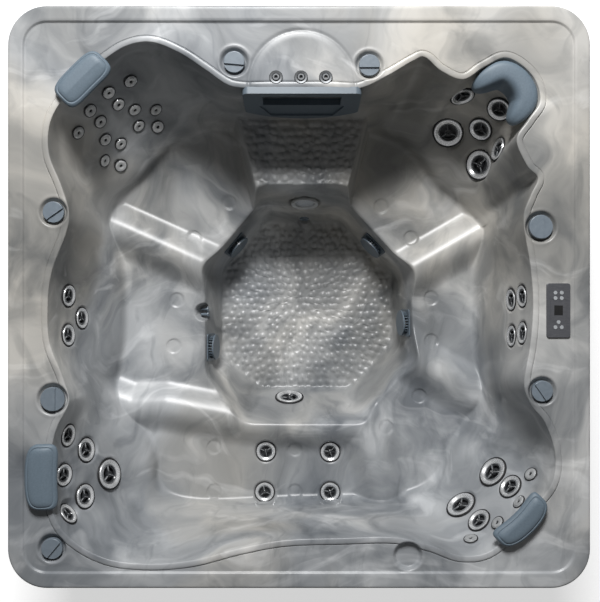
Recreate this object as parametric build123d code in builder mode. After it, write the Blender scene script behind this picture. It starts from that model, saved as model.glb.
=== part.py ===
from build123d import *

import math
import os
from dataclasses import dataclass

# A square acrylic hot tub with seats, a lounger, an entry step and a footwell.
# The moulded shell hangs by its rim on a timber frame that stands in a base pan.
# Panels close the cabinet; pumps, heater and pipework fill the space under the right seats.
# X runs to the tub's right, Y to its rear and Z up, from the middle of its base.

# Overall size
tub_width = 2235.0
tub_length = 2235.0
rim_height = 915.0
half_width = tub_width / 2
half_length = tub_length / 2

# Clearances
seat_gap = 0.3
turning_gap = 1.5
shaft_gap = 0.05
overrun = 25.0

# Moulded shell
skin = 8.0
corner_radius = 150.0
rim_band = 60.0
rim_step = 8.0
lip_drop = 48.0
lip_edge_radius = 10.0
bead_height = 5.0
dome_rise = 4.0
dome_radius = 205.0
dome_share = (0.010, 0.734)
crest_height = 430.0
seat_height = 370.0
step_height = 540.0
floor_height = 80.0
seat_cove = 12.0
deck_height = rim_height - rim_step
deck_underside = deck_height - skin
bead_top = deck_height + bead_height

# Wall profile from the bead down to the crest level: depth share, then run share
profile_shares = ((0.0, 0.0), (0.20, 0.08), (0.78, 0.62), (1.0, 1.0))

# Basin outline, clockwise from the filter: top x and y, then x and y at the crest level
basin_shares = (
    (-0.192, 0.718, -0.192, 0.660),
    (-0.093, 0.718, -0.093, 0.660),
    (0.010, 0.718, 0.010, 0.660),
    (0.113, 0.718, 0.113, 0.660),
    (0.213, 0.718, 0.213, 0.660),
    (0.309, 0.763, 0.288, 0.667),
    (0.392, 0.811, 0.340, 0.652),
    (0.433, 0.823, 0.359, 0.644),
    (0.488, 0.777, 0.391, 0.632),
    (0.564, 0.747, 0.430, 0.608),
    (0.636, 0.790, 0.466, 0.577),
    (0.715, 0.821, 0.509, 0.525),
    (0.799, 0.763, 0.553, 0.462),
    (0.828, 0.677, 0.604, 0.423),
    (0.787, 0.608, 0.644, 0.391),
    (0.747, 0.540, 0.675, 0.359),
    (0.784, 0.450, 0.695, 0.332),
    (0.820, 0.409, 0.711, 0.304),
    (0.794, 0.347, 0.723, 0.280),
    (0.770, 0.265, 0.731, 0.257),
    (0.794, 0.110, 0.723, 0.126),
    (0.804, -0.024, 0.719, -0.028),
    (0.794, -0.165, 0.723, -0.170),
    (0.773, -0.296, 0.731, -0.288),
    (0.797, -0.371, 0.731, -0.336),
    (0.845, -0.433, 0.723, -0.387),
    (0.880, -0.543, 0.707, -0.454),
    (0.863, -0.649, 0.675, -0.525),
    (0.775, -0.749, 0.628, -0.596),
    (0.667, -0.866, 0.584, -0.699),
    (0.560, -0.888, 0.525, -0.758),
    (0.450, -0.852, 0.438, -0.796),
    (0.330, -0.825, 0.340, -0.808),
    (0.141, -0.828, 0.154, -0.815),
    (-0.048, -0.835, -0.047, -0.820),
    (-0.203, -0.863, -0.193, -0.826),
    (-0.364, -0.904, -0.304, -0.831),
    (-0.512, -0.916, -0.407, -0.829),
    (-0.656, -0.900, -0.494, -0.815),
    (-0.770, -0.842, -0.553, -0.786),
    (-0.835, -0.763, -0.577, -0.734),
    (-0.856, -0.653, -0.580, -0.652),
    (-0.852, -0.543, -0.612, -0.565),
    (-0.832, -0.450, -0.675, -0.478),
    (-0.790, -0.361, -0.738, -0.351),
    (-0.811, -0.275, -0.731, -0.272),
    (-0.856, -0.158, -0.715, -0.170),
    (-0.863, -0.034, -0.711, -0.032),
    (-0.849, 0.086, -0.715, 0.087),
    (-0.801, 0.216, -0.738, 0.233),
    (-0.789, 0.292, -0.750, 0.296),
    (-0.818, 0.388, -0.742, 0.351),
    (-0.859, 0.498, -0.715, 0.407),
    (-0.849, 0.615, -0.667, 0.454),
    (-0.770, 0.729, -0.604, 0.509),
    (-0.674, 0.811, -0.549, 0.573),
    (-0.591, 0.863, -0.494, 0.628),
    (-0.505, 0.875, -0.434, 0.671),
    (-0.409, 0.838, -0.363, 0.691),
    (-0.320, 0.780, -0.304, 0.691),
    (-0.251, 0.732, -0.257, 0.683),
)

# Footwell corners, clockwise from its rear left: at the crest level, then at the floor
footwell_shares = (
    ((-0.150, 0.404), (-0.145, 0.324)),
    ((0.185, 0.404), (0.175, 0.324)),
    ((0.458, 0.105), (0.402, 0.085)),
    ((0.470, -0.262), (0.402, -0.200)),
    ((0.262, -0.500), (0.225, -0.393)),
    ((-0.215, -0.500), (-0.170, -0.393)),
    ((-0.385, -0.330), (-0.333, -0.250)),
    ((-0.385, 0.118), (-0.333, 0.110)),
)
footwell_corner = 60.0

# Entry step corners, clockwise from its rear left: at its top, then at its foot
step_shares = (
    ((-0.262, 0.800), (-0.292, 0.830)),
    ((0.285, 0.800), (0.315, 0.830)),
    ((0.170, 0.350), (0.205, 0.350)),
    ((-0.150, 0.350), (-0.185, 0.350)),
)
step_corner = 30.0

# Armrest ridges between the seats, each from the wall to the footwell
ridge_shares = (
    ((-0.880, 0.340), (-0.740, 0.283), (-0.300, 0.085)),
    ((0.880, 0.330), (0.745, 0.270), (0.380, 0.060)),
    ((0.900, -0.380), (0.700, -0.390), (0.490, -0.270), (0.380, -0.180)),
    (
        (-0.900, -0.350),
        (-0.670, -0.440),
        (-0.530, -0.436),
        (-0.270, -0.486),
        (0.000, -0.515),
        (0.250, -0.510),
        (0.300, -0.640),
        (0.350, -0.900),
    ),
)
ridge_foot_width = 120.0
ridge_top_width = 30.0

# Flat moulded discs on the seats
blank_radius = 32.0
blank_rise = 2.0
blank_shares = (
    (-0.281, 0.381),
    (-0.421, 0.237),
    (-0.490, -0.012),
    (-0.502, -0.197),
    (0.329, 0.365),
    (0.449, 0.237),
    (0.530, -0.004),
    (0.530, -0.177),
    (0.482, -0.397),
    (0.349, -0.522),
    (-0.341, -0.602),
    (-0.341, -0.780),
    (-0.016, -0.610),
    (-0.016, -0.780),
)

# Filter housing in a pocket of the rear wall, and the canister behind it
filter_half_width = 230.0
filter_side_drop = 215.0
filter_drop = 300.0
filter_stand = 14.0
filter_thickness = 27.0
filter_corner = 22.0
filter_back_shares = (0.7205, 0.6960)
filter_mouth_half_width = 154.0
filter_mouth_top = 28.0
filter_mouth_bottom = 124.0
filter_neck_wall = 6.0
filter_neck_length = 30.0
filter_tray_depth = 9.0
filter_tray_top = 140.0
filter_tray_bottom = 262.0
filter_tray_half_width = 172.0
filter_tray_foot_half_width = 128.0
pocket_reach = 120.0
canister_half_width = 190.0
canister_front_share = 0.7315
canister_rear_share = 0.9210
canister_floor = 480.0
canister_top = 872.0
canister_wall = 5.0
cartridge_radius = 88.0
cartridge_height = 270.0
cartridge_cap = 12.0
cartridge_bore = 26.0
cartridge_pleats = 36
cartridge_pleat_depth = 16.0

# Weir door in the filter housing's mouth
door_thickness = 5.0
door_barrel = 4.0
door_pin = 3.0
door_end_gap = 1.5
door_setback = 10.0
ear_thickness = 5.0
ear_radius = 5.0

# Fountain nozzles on the deck
fountain_shares = ((-0.079, 0.754), (0.007, 0.754), (0.092, 0.754))
fountain_ring_radius = 26.0
fountain_ring_height = 5.0
fountain_nozzle_radius = 12.0
fountain_nozzle_height = 9.0
fountain_stem_radius = 14.0
fountain_stem_length = 24.0
fountain_bore = 7.0

# Control knobs in round dishes of the deck
air_knob_radius = 40.0
diverter_knob_radius = 46.0
knob_height = 24.0
knob_step = 7.0
knob_edge = 3.0
knob_split_share = 0.24
knob_stem_radius = 9.0
knob_stem_length = 40.0
dish_margin = 12.5
dish_depth = 18.0
dish_taper = 5.0
stem_hole_margin = 3.0
valve_radius = 30.0
valve_height = 70.0
valve_flange = 8.0
valve_flange_height = 6.0
valve_port_radius = 16.0
valve_port_bore = 12.0
valve_port_length = 26.0
air_knob_places = (
    ("air_knob_rear_left", (-0.223, 0.808), -95.0),
    ("air_knob_rear_right", (0.242, 0.797), -90.0),
    ("air_knob_left", (-0.844, 0.292), -55.0),
    ("air_knob_right", (0.836, -0.323), -145.0),
    ("air_knob_front_left", (-0.849, -0.864), -40.0),
)
diverter_knob_places = (
    ("diverter_knob_right", (0.831, 0.241), 0.0),
    ("diverter_knob_left", (-0.847, -0.351), 0.0),
)
blank_dish_share = (0.375, -0.890)

# Control panel on the right of the deck
panel_share = (0.890, -0.046)
control_width = 91.0
control_length = 208.0
control_corner = 10.0
control_plate = 7.0
control_tub_margin = 8.0
control_tub_depth = 26.0
screen_width = 33.0
screen_length = 38.0
screen_thickness = 2.0
screen_frame_width = 65.0
screen_frame_length = 84.0
screen_frame_groove = 1.5
screen_frame_groove_depth = 1.0
button_radius = 7.3
button_gap = 0.4
button_depth = 5.0
button_proud = 1.7
button_offsets = (
    (-12.0, 67.5),
    (12.0, 67.5),
    (-12.0, 47.0),
    (12.0, 47.0),
    (0.0, -45.0),
    (-12.0, -64.5),
    (12.0, -64.5),
)

# Jets: ring radius, recess depth in the wall and body length behind it
large_ring_radius = 62.0
large_body_length = 62.0
medium_ring_radius = 48.0
medium_body_length = 54.0
small_ring_radius = 43.0
small_body_length = 46.0
cluster_ring_radius = 26.0
cluster_body_length = 36.0
sunk_recess = 7.0
proud_recess = 1.5
ring_height_share = 0.17
face_share = 0.64
hub_share = 0.34
bore_share = 0.17
body_wall = 3.0
body_flange = 7.0
body_flange_height = 5.0
body_flange_setback = 3.5
body_web = 4.0
port_radius = 9.0
port_bore = 6.0
port_length = 16.0

# Jet places in the walls, as shares in the plan
cluster_shares = (
    (-0.609, 0.780),
    (-0.684, 0.734),
    (-0.662, 0.706),
    (-0.615, 0.701),
    (-0.546, 0.714),
    (-0.750, 0.670),
    (-0.728, 0.643),
    (-0.612, 0.654),
    (-0.547, 0.659),
    (-0.797, 0.594),
    (-0.725, 0.589),
    (-0.681, 0.585),
    (-0.741, 0.520),
    (-0.691, 0.509),
)
rear_right_large_shares = ((0.573, 0.631), (0.691, 0.507))
rear_right_medium_shares = ((0.597, 0.728), (0.679, 0.627), (0.728, 0.682), (0.733, 0.549))
left_small_shares = ((-0.827, 0.004), (-0.828, -0.137), (-0.802, -0.078))
right_small_shares = ((0.775, -0.010), (0.791, 0.003), (0.774, -0.142), (0.789, -0.127))
front_left_small_shares = ((-0.818, -0.493), (-0.830, -0.631), (-0.813, -0.763))
front_left_medium_shares = ((-0.778, -0.561), (-0.774, -0.723))
front_left_large_shares = ((-0.713, -0.668),)
lounger_small_shares = ((-0.133, -0.620), (0.125, -0.622), (-0.138, -0.783), (0.125, -0.783))
front_right_large_shares = ((0.727, -0.655), (0.612, -0.785))
front_right_medium_shares = ((0.765, -0.686), (0.654, -0.811))
front_right_cluster_shares = ((0.829, -0.634), (0.776, -0.723), (0.703, -0.800), (0.611, -0.859))

# Fittings on the footwell's walls: wall number, share along it and height
foot_jet_place = (4, 0.66, 180.0)
suction_places = ((7, 0.43, 230.0), (1, 0.53, 230.0), (6, 0.22, 280.0), (2, 0.61, 280.0))
light_place = (0, 0.52, 330.0)
return_places = ((0, 0.52, 130.0),)
sensor_places = ((6, 0.56, 330.0), (6, 0.61, 330.0))
suction_plate_width = 124.0
suction_seat_width = 126.0
suction_plate_thickness = 4.0
suction_cover_radius = 58.0
suction_cover_height = 28.0
suction_disc_thickness = 6.0
suction_rib_thickness = 3.0
suction_rib_length = 12.0
suction_ribs = 24
suction_body_radius = 30.0
suction_body_bore = 24.0
suction_body_length = 48.0
light_ring_radius = 62.0
light_lens_radius = 46.0
light_ring_height = 9.0
light_body_length = 40.0
return_ring_radius = 22.0
return_body_radius = 12.0
return_body_length = 30.0
sensor_ring_radius = 12.0
sensor_body_radius = 6.0
fitting_ring_height = 5.0

# Pillows: width over the ends, depth from front to back and height
pillow_lift = 0.6
pillow_height = 38.0
pillow_corner_share = 0.32
wrap_pillow_gap = 3.0

# Cabinet
pan_half_width = tub_width / 2 - 17.5
pan_half_length = tub_length / 2 - 17.5
pan_thickness = 10.0
pan_rim_height = 60.0
pan_rim_thickness = 4.0
panel_inset = 23.5
panel_thickness = 15.0
panel_top = 890.0
panel_corner_reach = 140.0
slat_pitch = 120.0
slat_groove = 6.0
slat_groove_depth = 3.0
timber_width = 45.0
timber_rail_height = 45.0
post_offset = 880.0
sleeper_offset = 200.0
sleeper_length = 640.0
screw_head_radius = 7.0
screw_head_height = 3.0
screw_radius = 3.0
screw_length = 42.0
screw_inset = 30.0

# Equipment bay
pump_radius = 80.0
pump_wall = 6.0
pump_motor_length = 220.0
volute_radius = 85.0
volute_length = 72.0
pump_axis_height = 115.0
pump_port_radius = 27.0
pump_port_length = 36.0
pump_foot_width = 150.0
pump_start_y = -150.0
pump_x_positions = (690.0, 900.0)
rotor_radius = 56.0
impeller_radius = 62.0
impeller_thickness = 26.0
shaft_radius = 8.0
pipe_radius = 25.0
pipe_bore = 21.0
pipe_bend = 34.0
heater_radius = 40.0
heater_start_y = -60.0
heater_length = 300.0
heater_height = 300.0
heater_flange = 12.0
control_box_size = (170.0, 230.0, 150.0)
control_box_center = (880.0, 370.0)
manifold_radius = 30.0
manifold_bore = 26.0
manifold_height = 430.0
manifold_half_length = 240.0
manifold_x_positions = (900.0, 985.0)
nipple_radius = 9.0
nipple_bore = 6.0
nipple_length = 18.0
nipple_pitch = 56.0
nipple_count = 8
drain_radius = 12.0
drain_bore = 9.0
drain_height = 85.0
drain_y = -400.0
drain_x = 330.0
drain_flange_radius = 24.0
drain_stub = 14.0
cap_radius = 19.0
cap_length = 12.0
inlet_radius = 22.0
inlet_bore = 12.0
inlet_length = 30.0

upward = (Align.CENTER, Align.CENTER, Align.MIN)
downward = (Align.CENTER, Align.CENTER, Align.MAX)


def at(share):
    """The point in the plan that stands at these shares of the half width and length."""
    return (share[0] * half_width, share[1] * half_length)


def between(start, end, share):
    """The point at this share of the way from start to end."""
    return tuple(a + (b - a) * share for a, b in zip(start, end))


def grown(points, gap):
    """A clockwise closed outline moved outwards by gap."""
    moved = []
    for i, (x, y) in enumerate(points):
        before, after = points[i - 1], points[(i + 1) % len(points)]
        run_x, run_y = after[0] - before[0], after[1] - before[1]
        run = math.hypot(run_x, run_y)
        moved.append((x - run_y / run * gap, y + run_x / run * gap))
    return moved


def polygon_face(points, height, corner):
    """A level face with straight sides and rounded corners."""
    with BuildSketch(Plane.XY.offset(height), mode=Mode.PRIVATE) as outline:
        with BuildLine():
            Polyline(*points, close=True)
        make_face()
        if corner:
            fillet(outline.vertices(), corner)
    return outline.sketch


def curved_face(points, height):
    """A level face inside a closed outline."""
    with BuildSketch(Plane.XY.offset(height), mode=Mode.PRIVATE) as outline:
        with BuildLine():
            Polyline(*points, close=True)
        make_face()
    return outline.sketch


def basin_section(run_share, gap):
    """The basin's outline at this share of the way from its top to the crest level."""
    points = []
    for top_x, top_y, low_x, low_y in basin_shares:
        points.append(at(between((top_x, top_y), (low_x, low_y), run_share)))
    return grown(points, gap)


def run_at(height):
    """The share of the wall's run that is reached at this height."""
    depth = (bead_top - height) / (bead_top - crest_height)
    for (upper, upper_run), (lower, lower_run) in zip(profile_shares, profile_shares[1:]):
        if depth <= lower:
            return upper_run + (depth - upper) / (lower - upper) * (lower_run - upper_run)
    return 1.0


def ridge_outline(line, width):
    """A closed outline round a bent ridge, its sides half a width from its line."""
    left, right = [], []
    for i, (x, y) in enumerate(line):
        before, after = line[max(i - 1, 0)], line[min(i + 1, len(line) - 1)]
        run_x, run_y = after[0] - before[0], after[1] - before[1]
        run = math.hypot(run_x, run_y)
        across = (run_y / run * width / 2, -run_x / run * width / 2)
        left.append((x - across[0], y - across[1]))
        right.append((x + across[0], y + across[1]))
    return left + right[::-1]


def footwell_corners(height, gap):
    """The footwell's corner points at this height, moved outwards by gap."""
    share = (crest_height - height) / (crest_height - floor_height)
    return grown([at(between(upper, lower, share)) for upper, lower in footwell_shares], gap)


filter_top_y = filter_back_shares[0] * half_length
filter_low_y = filter_back_shares[1] * half_length
filter_x = dome_share[0] * half_width
filter_lean = math.atan2(filter_top_y - filter_low_y, filter_drop)
filter_plane = Plane(
    origin=(filter_x, filter_top_y, deck_underside),
    x_dir=(1, 0, 0),
    z_dir=(0, -math.cos(filter_lean), math.sin(filter_lean)),
)


def filter_outline(plane, gap, top):
    """The filter housing's outline: straight top and sides over a bowed lower edge."""
    side, low = filter_half_width + gap, filter_drop + gap
    drop = filter_side_drop + gap
    with BuildSketch(plane, mode=Mode.PRIVATE) as outline:
        with BuildLine():
            Line((-side, top), (side, top))
            Line((side, top), (side, -drop))
            ThreePointArc((side, -drop), (0, -low), (-side, -drop))
            Line((-side, -drop), (-side, top))
        make_face()
        fillet(outline.vertices().group_by(Axis.Z)[0], filter_corner)
    return outline.sketch


def hollow(gap, top):
    """The space inside the shell, or that space with its walls moved out by gap."""
    seat_level = seat_height - gap
    depth = bead_top - crest_height
    with BuildPart() as space:
        sections = [curved_face(basin_section(0, gap), top)]
        for depth_share, run_share in profile_shares:
            level = bead_top - depth_share * depth
            if level < top:
                sections.append(curved_face(basin_section(run_share, gap), level))
        sections.append(curved_face(basin_section(1, gap - seat_cove), seat_level))
        loft(sections=sections, ruled=True)

        foot_level = seat_level - overrun
        step_top = [at(upper) for upper, lower in step_shares]
        step_foot = [at(lower) for upper, lower in step_shares]
        loft(
            sections=[
                polygon_face(grown(step_foot, -gap), foot_level, step_corner),
                polygon_face(grown(step_top, -gap), step_height - gap, step_corner),
            ],
            ruled=True,
            mode=Mode.SUBTRACT,
        )
        for shares in ridge_shares:
            line = [at(share) for share in shares]
            foot = ridge_outline(line, ridge_foot_width - 2 * gap)
            crest = ridge_outline(line, ridge_top_width - gap)
            loft(
                sections=[
                    polygon_face(foot, seat_level - seat_gap, 0),
                    polygon_face(crest, crest_height - gap, 0),
                ],
                ruled=True,
                mode=Mode.SUBTRACT,
            )

        mouth_level = step_height + overrun
        loft(
            sections=[
                polygon_face(footwell_corners(mouth_level, gap), mouth_level, footwell_corner),
                polygon_face(
                    footwell_corners(floor_height, gap), floor_height - gap, footwell_corner
                ),
            ],
            ruled=True,
        )
        pocket = filter_outline(filter_plane.offset(-gap), gap, top - deck_underside - skin / 4)
        extrude(pocket, pocket_reach)
    return space.part


basin = hollow(0, bead_top + overrun)
basin_skin = basin.shells()[0]


def facing(point, inward):
    """A plane at point that faces inward, with its X axis level."""
    level = Vector(0, 0, 1).cross(inward)
    if level.length < inward.length / 2:
        level = Vector(1, 0, 0)
    return Plane(origin=point, x_dir=level, z_dir=inward)


def wall_spot(share):
    """The plane on the basin's surface under this place in the plan."""
    x, y = at(share)
    point, outward = basin_skin.find_intersection_points(Axis((x, y, 0), (0, 0, 1)))[0]
    return facing(point, -outward)


def footwell_spot(place):
    """The plane on a footwell wall at this share along it and this height."""
    wall, share, height = place
    lower, upper = footwell_corners(height, 0), footwell_corners(height + skin, 0)
    after = (wall + 1) % len(lower)
    along = Vector(*lower[after]) - Vector(*lower[wall])
    rise = Vector(*upper[wall], skin) - Vector(*lower[wall])
    x, y = between(lower[wall], lower[after], share)
    return facing((x, y, height), along.cross(rise))


@dataclass(frozen=True)
class Jet:
    """The sizes of one jet family, whose parts all follow its ring."""

    ring_radius: float
    body_length: float

    @property
    def ring_height(self):
        """The ring's height over the floor of its recess."""
        return self.ring_radius * ring_height_share

    @property
    def face_radius(self):
        """The turning face's radius."""
        return self.ring_radius * face_share

    @property
    def body_radius(self):
        """The outer radius of the body behind the wall."""
        return self.face_radius + turning_gap + body_wall


large_jet = Jet(large_ring_radius, large_body_length)
medium_jet = Jet(medium_ring_radius, medium_body_length)
small_jet = Jet(small_ring_radius, small_body_length)
cluster_jet = Jet(cluster_ring_radius, cluster_body_length)


def recesses(shares, depth):
    """The planes of the recess floors under these places in the plan."""
    return [wall_spot(share).offset(-depth) for share in shares]


turning_jets = {
    "jet_face_rear_right_inner": recesses(rear_right_large_shares, sunk_recess)[0],
    "jet_face_rear_right_outer": recesses(rear_right_large_shares, sunk_recess)[1],
    "jet_face_front_left": recesses(front_left_large_shares, sunk_recess)[0],
    "jet_face_front_right_outer": recesses(front_right_large_shares, proud_recess)[0],
    "jet_face_front_right_inner": recesses(front_right_large_shares, proud_recess)[1],
}
foot_jet_plane = footwell_spot(foot_jet_place).offset(-proud_recess)
jet_planes = {
    large_jet: [*turning_jets.values(), foot_jet_plane],
    medium_jet: recesses(rear_right_medium_shares, sunk_recess)
    + recesses(front_left_medium_shares, sunk_recess)
    + recesses(front_right_medium_shares, proud_recess),
    small_jet: recesses(left_small_shares, sunk_recess)
    + recesses(right_small_shares, sunk_recess)
    + recesses(front_left_small_shares, sunk_recess)
    + recesses(lounger_small_shares, sunk_recess),
    cluster_jet: recesses(cluster_shares, proud_recess)
    + recesses(front_right_cluster_shares, proud_recess),
}
fixed_jet_planes = {**jet_planes, large_jet: [foot_jet_plane]}

suction_planes = [footwell_spot(place) for place in suction_places]
light_plane = footwell_spot(light_place)
return_planes = [footwell_spot(place) for place in return_places]
sensor_planes = [footwell_spot(place) for place in sensor_places]

air_knobs = {name: (at(share), turn) for name, share, turn in air_knob_places}
diverter_knobs = {name: (at(share), turn) for name, share, turn in diverter_knob_places}
air_dish_radius = air_knob_radius + dish_margin
diverter_dish_radius = diverter_knob_radius + dish_margin
dishes = [(place, air_dish_radius) for place, turn in air_knobs.values()]
dishes += [(place, diverter_dish_radius) for place, turn in diverter_knobs.values()]
dishes += [(at(blank_dish_share), air_dish_radius)]
knob_places = [place for place, turn in [*air_knobs.values(), *diverter_knobs.values()]]
dish_floor = deck_height - dish_depth
panel_x, panel_y = at(panel_share)
control_hole = (
    control_width - 2 * control_tub_margin,
    control_length - 2 * control_tub_margin,
)


def lip_outline(inset):
    """The rim's outer outline, moved in by inset."""
    RectangleRounded(tub_width - 2 * inset, tub_length - 2 * inset, corner_radius - inset)


def lip_opening(inset):
    """The same outline cut out of the sketch."""
    width, length = tub_width - 2 * inset, tub_length - 2 * inset
    RectangleRounded(width, length, corner_radius - inset, mode=Mode.SUBTRACT)


os.makedirs("parts", exist_ok=True)

with BuildPart() as cups:
    for jet, planes in jet_planes.items():
        with Locations(*[plane.offset(-skin) for plane in planes]):
            Cylinder(jet.ring_radius + skin, skin + sunk_recess, align=upward)
    for place, radius in dishes:
        with Locations((*place, dish_floor - skin)):
            Cylinder(radius + skin, dish_depth + skin / 2, align=upward)

with BuildPart() as openings:
    for jet, planes in jet_planes.items():
        with Locations(*planes):
            Cylinder(jet.ring_radius + seat_gap, sunk_recess + overrun, align=upward)
            Cylinder(jet.body_radius + seat_gap, overrun, align=downward)
    for place, radius in dishes:
        with Locations((*place, dish_floor)):
            Cone(radius - dish_taper, radius, dish_depth, align=upward)
            Cylinder(knob_stem_radius + stem_hole_margin, overrun, align=downward)
        with Locations((*place, deck_height)):
            Cylinder(radius, overrun, align=upward)
    with Locations(*suction_planes):
        Cylinder(suction_body_radius + seat_gap, 2 * overrun)
        Box(suction_seat_width, suction_seat_width, overrun, align=upward)
    with Locations(light_plane):
        Cylinder(light_lens_radius + seat_gap, 2 * overrun)
    with Locations(*return_planes):
        Cylinder(return_body_radius + seat_gap, 2 * overrun)
    with Locations(*sensor_planes):
        Cylinder(sensor_body_radius + seat_gap, 2 * overrun)
    with Locations(*[(*at(share), deck_height) for share in fountain_shares]):
        Cylinder(fountain_stem_radius + seat_gap, 2 * overrun)
    with Locations((panel_x, panel_y, deck_height)):
        Box(*control_hole, 2 * overrun)
    with BuildSketch(filter_plane):
        with Locations((0, -(filter_mouth_top + filter_mouth_bottom) / 2)):
            Rectangle(
                2 * (filter_mouth_half_width + filter_neck_wall),
                filter_mouth_bottom - filter_mouth_top,
            )
    extrude(amount=-overrun)

with BuildPart() as acrylic_shell:
    with BuildSketch(Plane.XY.offset(deck_underside)):
        lip_outline(0)
    extrude(amount=skin)
    with BuildSketch(Plane.XY.offset(rim_height - lip_drop)):
        lip_outline(0)
        lip_opening(skin)
    extrude(amount=lip_drop)
    with BuildSketch(Plane.XY.offset(deck_height)):
        lip_outline(0)
        lip_opening(rim_band)
    extrude(amount=rim_step)
    outer_top = acrylic_shell.faces().filter_by(Axis.Z).sort_by(Axis.Z)[-1].outer_wire()
    fillet(outer_top.edges(), lip_edge_radius)
    with BuildSketch(Plane.XY.offset(deck_height)):
        with Locations(at(dome_share)):
            Circle(dome_radius)
    extrude(amount=dome_rise)
    add([hollow(skin, bead_top), cups.part])
    add([basin, openings.part], mode=Mode.SUBTRACT)
    with Locations(*[(*at(share), seat_height) for share in blank_shares]):
        Cylinder(blank_radius, 2 * blank_rise)
acrylic_shell.part.label = "acrylic_shell"
export_step(acrylic_shell.part, "parts/acrylic_shell.step")


def save(part, name):
    """Label a finished sub-part and write its STEP file."""
    part.label = name
    export_step(part, f"parts/{name}.step")


def turned(*points):
    """A solid turned about the Z axis from a closed profile of radius and height."""
    with BuildPart() as piece:
        with BuildSketch(Plane.XZ):
            with BuildLine():
                Polyline(*points, close=True)
            make_face()
        revolve(axis=Axis.Z)
    return piece.part


def ring_piece(jet):
    """A jet's ring: low at its edge, with a crown that dips towards the face."""
    radius, height = jet.ring_radius, jet.ring_height
    inner = jet.face_radius + turning_gap
    return turned(
        (inner, 0),
        (radius, 0),
        (radius, height * 0.45),
        (between((inner, 0), (radius, 0), 0.82)[0], height),
        (between((inner, 0), (radius, 0), 0.50)[0], height),
        (inner, height * 0.40),
    )


def face_piece(jet):
    """A jet's turning face: a slotted dish round a domed nozzle with a hollow stem."""
    radius, height = jet.face_radius, jet.ring_height
    hub, bore, web = radius * hub_share, radius * bore_share, height * 0.45
    with BuildPart() as piece:
        add(
            turned(
                (bore, -height * 2),
                (hub * 0.8, -height * 2),
                (hub * 0.8, -web),
                (radius, -web),
                (radius, height * 0.35),
                (radius * 0.90, height * 0.45),
                (radius * 0.80, 0),
                (hub, 0),
                (hub * 0.9, height * 0.45),
                (bore * 1.3, height * 0.65),
                (bore, height * 0.5),
            )
        )
        with BuildSketch(Plane.XY.offset(-web)):
            Circle(radius * 0.76)
            Circle(hub * 1.12, mode=Mode.SUBTRACT)
            with PolarLocations(0, 3):
                spoke = radius * 0.16
                with Locations((radius / 2, 0)):
                    Rectangle(radius, spoke, mode=Mode.SUBTRACT)
        extrude(amount=height, mode=Mode.SUBTRACT)
    return piece.part


def body_piece(jet):
    """A jet's body: a cup behind the wall with a flange, a seat for the stem and a port."""
    outer, length = jet.body_radius, skin + jet.body_length
    inner, height = outer - body_wall, jet.ring_height
    stem = jet.face_radius * hub_share * 0.8 + seat_gap
    seat_level = -height * 1.4
    flange_level = -skin - body_flange_setback
    with BuildPart() as piece:
        add(
            turned(
                (0, -length),
                (outer, -length),
                (outer, flange_level - body_flange_height),
                (outer + body_flange, flange_level - body_flange_height),
                (outer + body_flange, flange_level),
                (outer, flange_level),
                (outer, 0),
                (inner, 0),
                (inner, seat_level),
                (stem, seat_level),
                (stem, seat_level - body_web),
                (inner, seat_level - body_web),
                (inner, -length + body_wall),
                (0, -length + body_wall),
            )
        )
        port_plane = Plane(
            origin=(0, outer - body_wall / 2, (seat_level - body_web - length) / 2),
            x_dir=(1, 0, 0),
            z_dir=(0, 1, 0),
        )
        with Locations(port_plane):
            Cylinder(port_radius * outer / 40, port_length, align=upward)
            Cylinder(port_bore * outer / 40, 3 * port_length, mode=Mode.SUBTRACT)
    return piece.part


with BuildPart() as jet_rings:
    for jet, planes in jet_planes.items():
        with Locations(*planes):
            add(ring_piece(jet))
save(jet_rings.part, "jet_rings")

with BuildPart() as jet_faces_fixed:
    for jet, planes in fixed_jet_planes.items():
        with Locations(*planes):
            add(face_piece(jet))
save(jet_faces_fixed.part, "jet_faces_fixed")

with BuildPart() as jet_bodies:
    for jet, planes in jet_planes.items():
        with Locations(*planes):
            add(body_piece(jet))
save(jet_bodies.part, "jet_bodies")

for name, plane in turning_jets.items():
    with BuildPart() as turning_face:
        with Locations(plane):
            add(face_piece(large_jet))
    save(turning_face.part, name)


with BuildPart() as suction_cover:
    with BuildSketch():
        RectangleRounded(
            suction_plate_width, suction_plate_width, suction_plate_width / 10
        )
        Circle(suction_body_bore, mode=Mode.SUBTRACT)
    extrude(amount=suction_plate_thickness)
    with Locations((0, 0, suction_cover_height - suction_disc_thickness)):
        Cylinder(suction_cover_radius, suction_disc_thickness, align=upward)
    rib_height = suction_cover_height - suction_plate_thickness
    with BuildSketch(Plane.XY.offset(suction_plate_thickness)):
        with PolarLocations(suction_cover_radius - suction_rib_length, suction_ribs):
            Rectangle(suction_rib_length, suction_rib_thickness)
    extrude(amount=rib_height - suction_disc_thickness / 2)

with BuildPart() as suction_covers:
    with Locations(*suction_planes):
        add(suction_cover.part)
save(suction_covers.part, "suction_covers")

suction_body = turned(
    (suction_body_bore, 0),
    (suction_body_radius, 0),
    (suction_body_radius, -skin - body_flange_setback),
    (suction_body_radius + body_flange, -skin - body_flange_setback),
    (suction_body_radius + body_flange, -skin - body_flange_height),
    (suction_body_radius, -skin - body_flange_height),
    (suction_body_radius, -suction_body_length),
    (suction_body_bore, -suction_body_length),
)
with BuildPart() as suction_bodies:
    with Locations(*suction_planes):
        add(suction_body)
save(suction_bodies.part, "suction_bodies")

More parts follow.
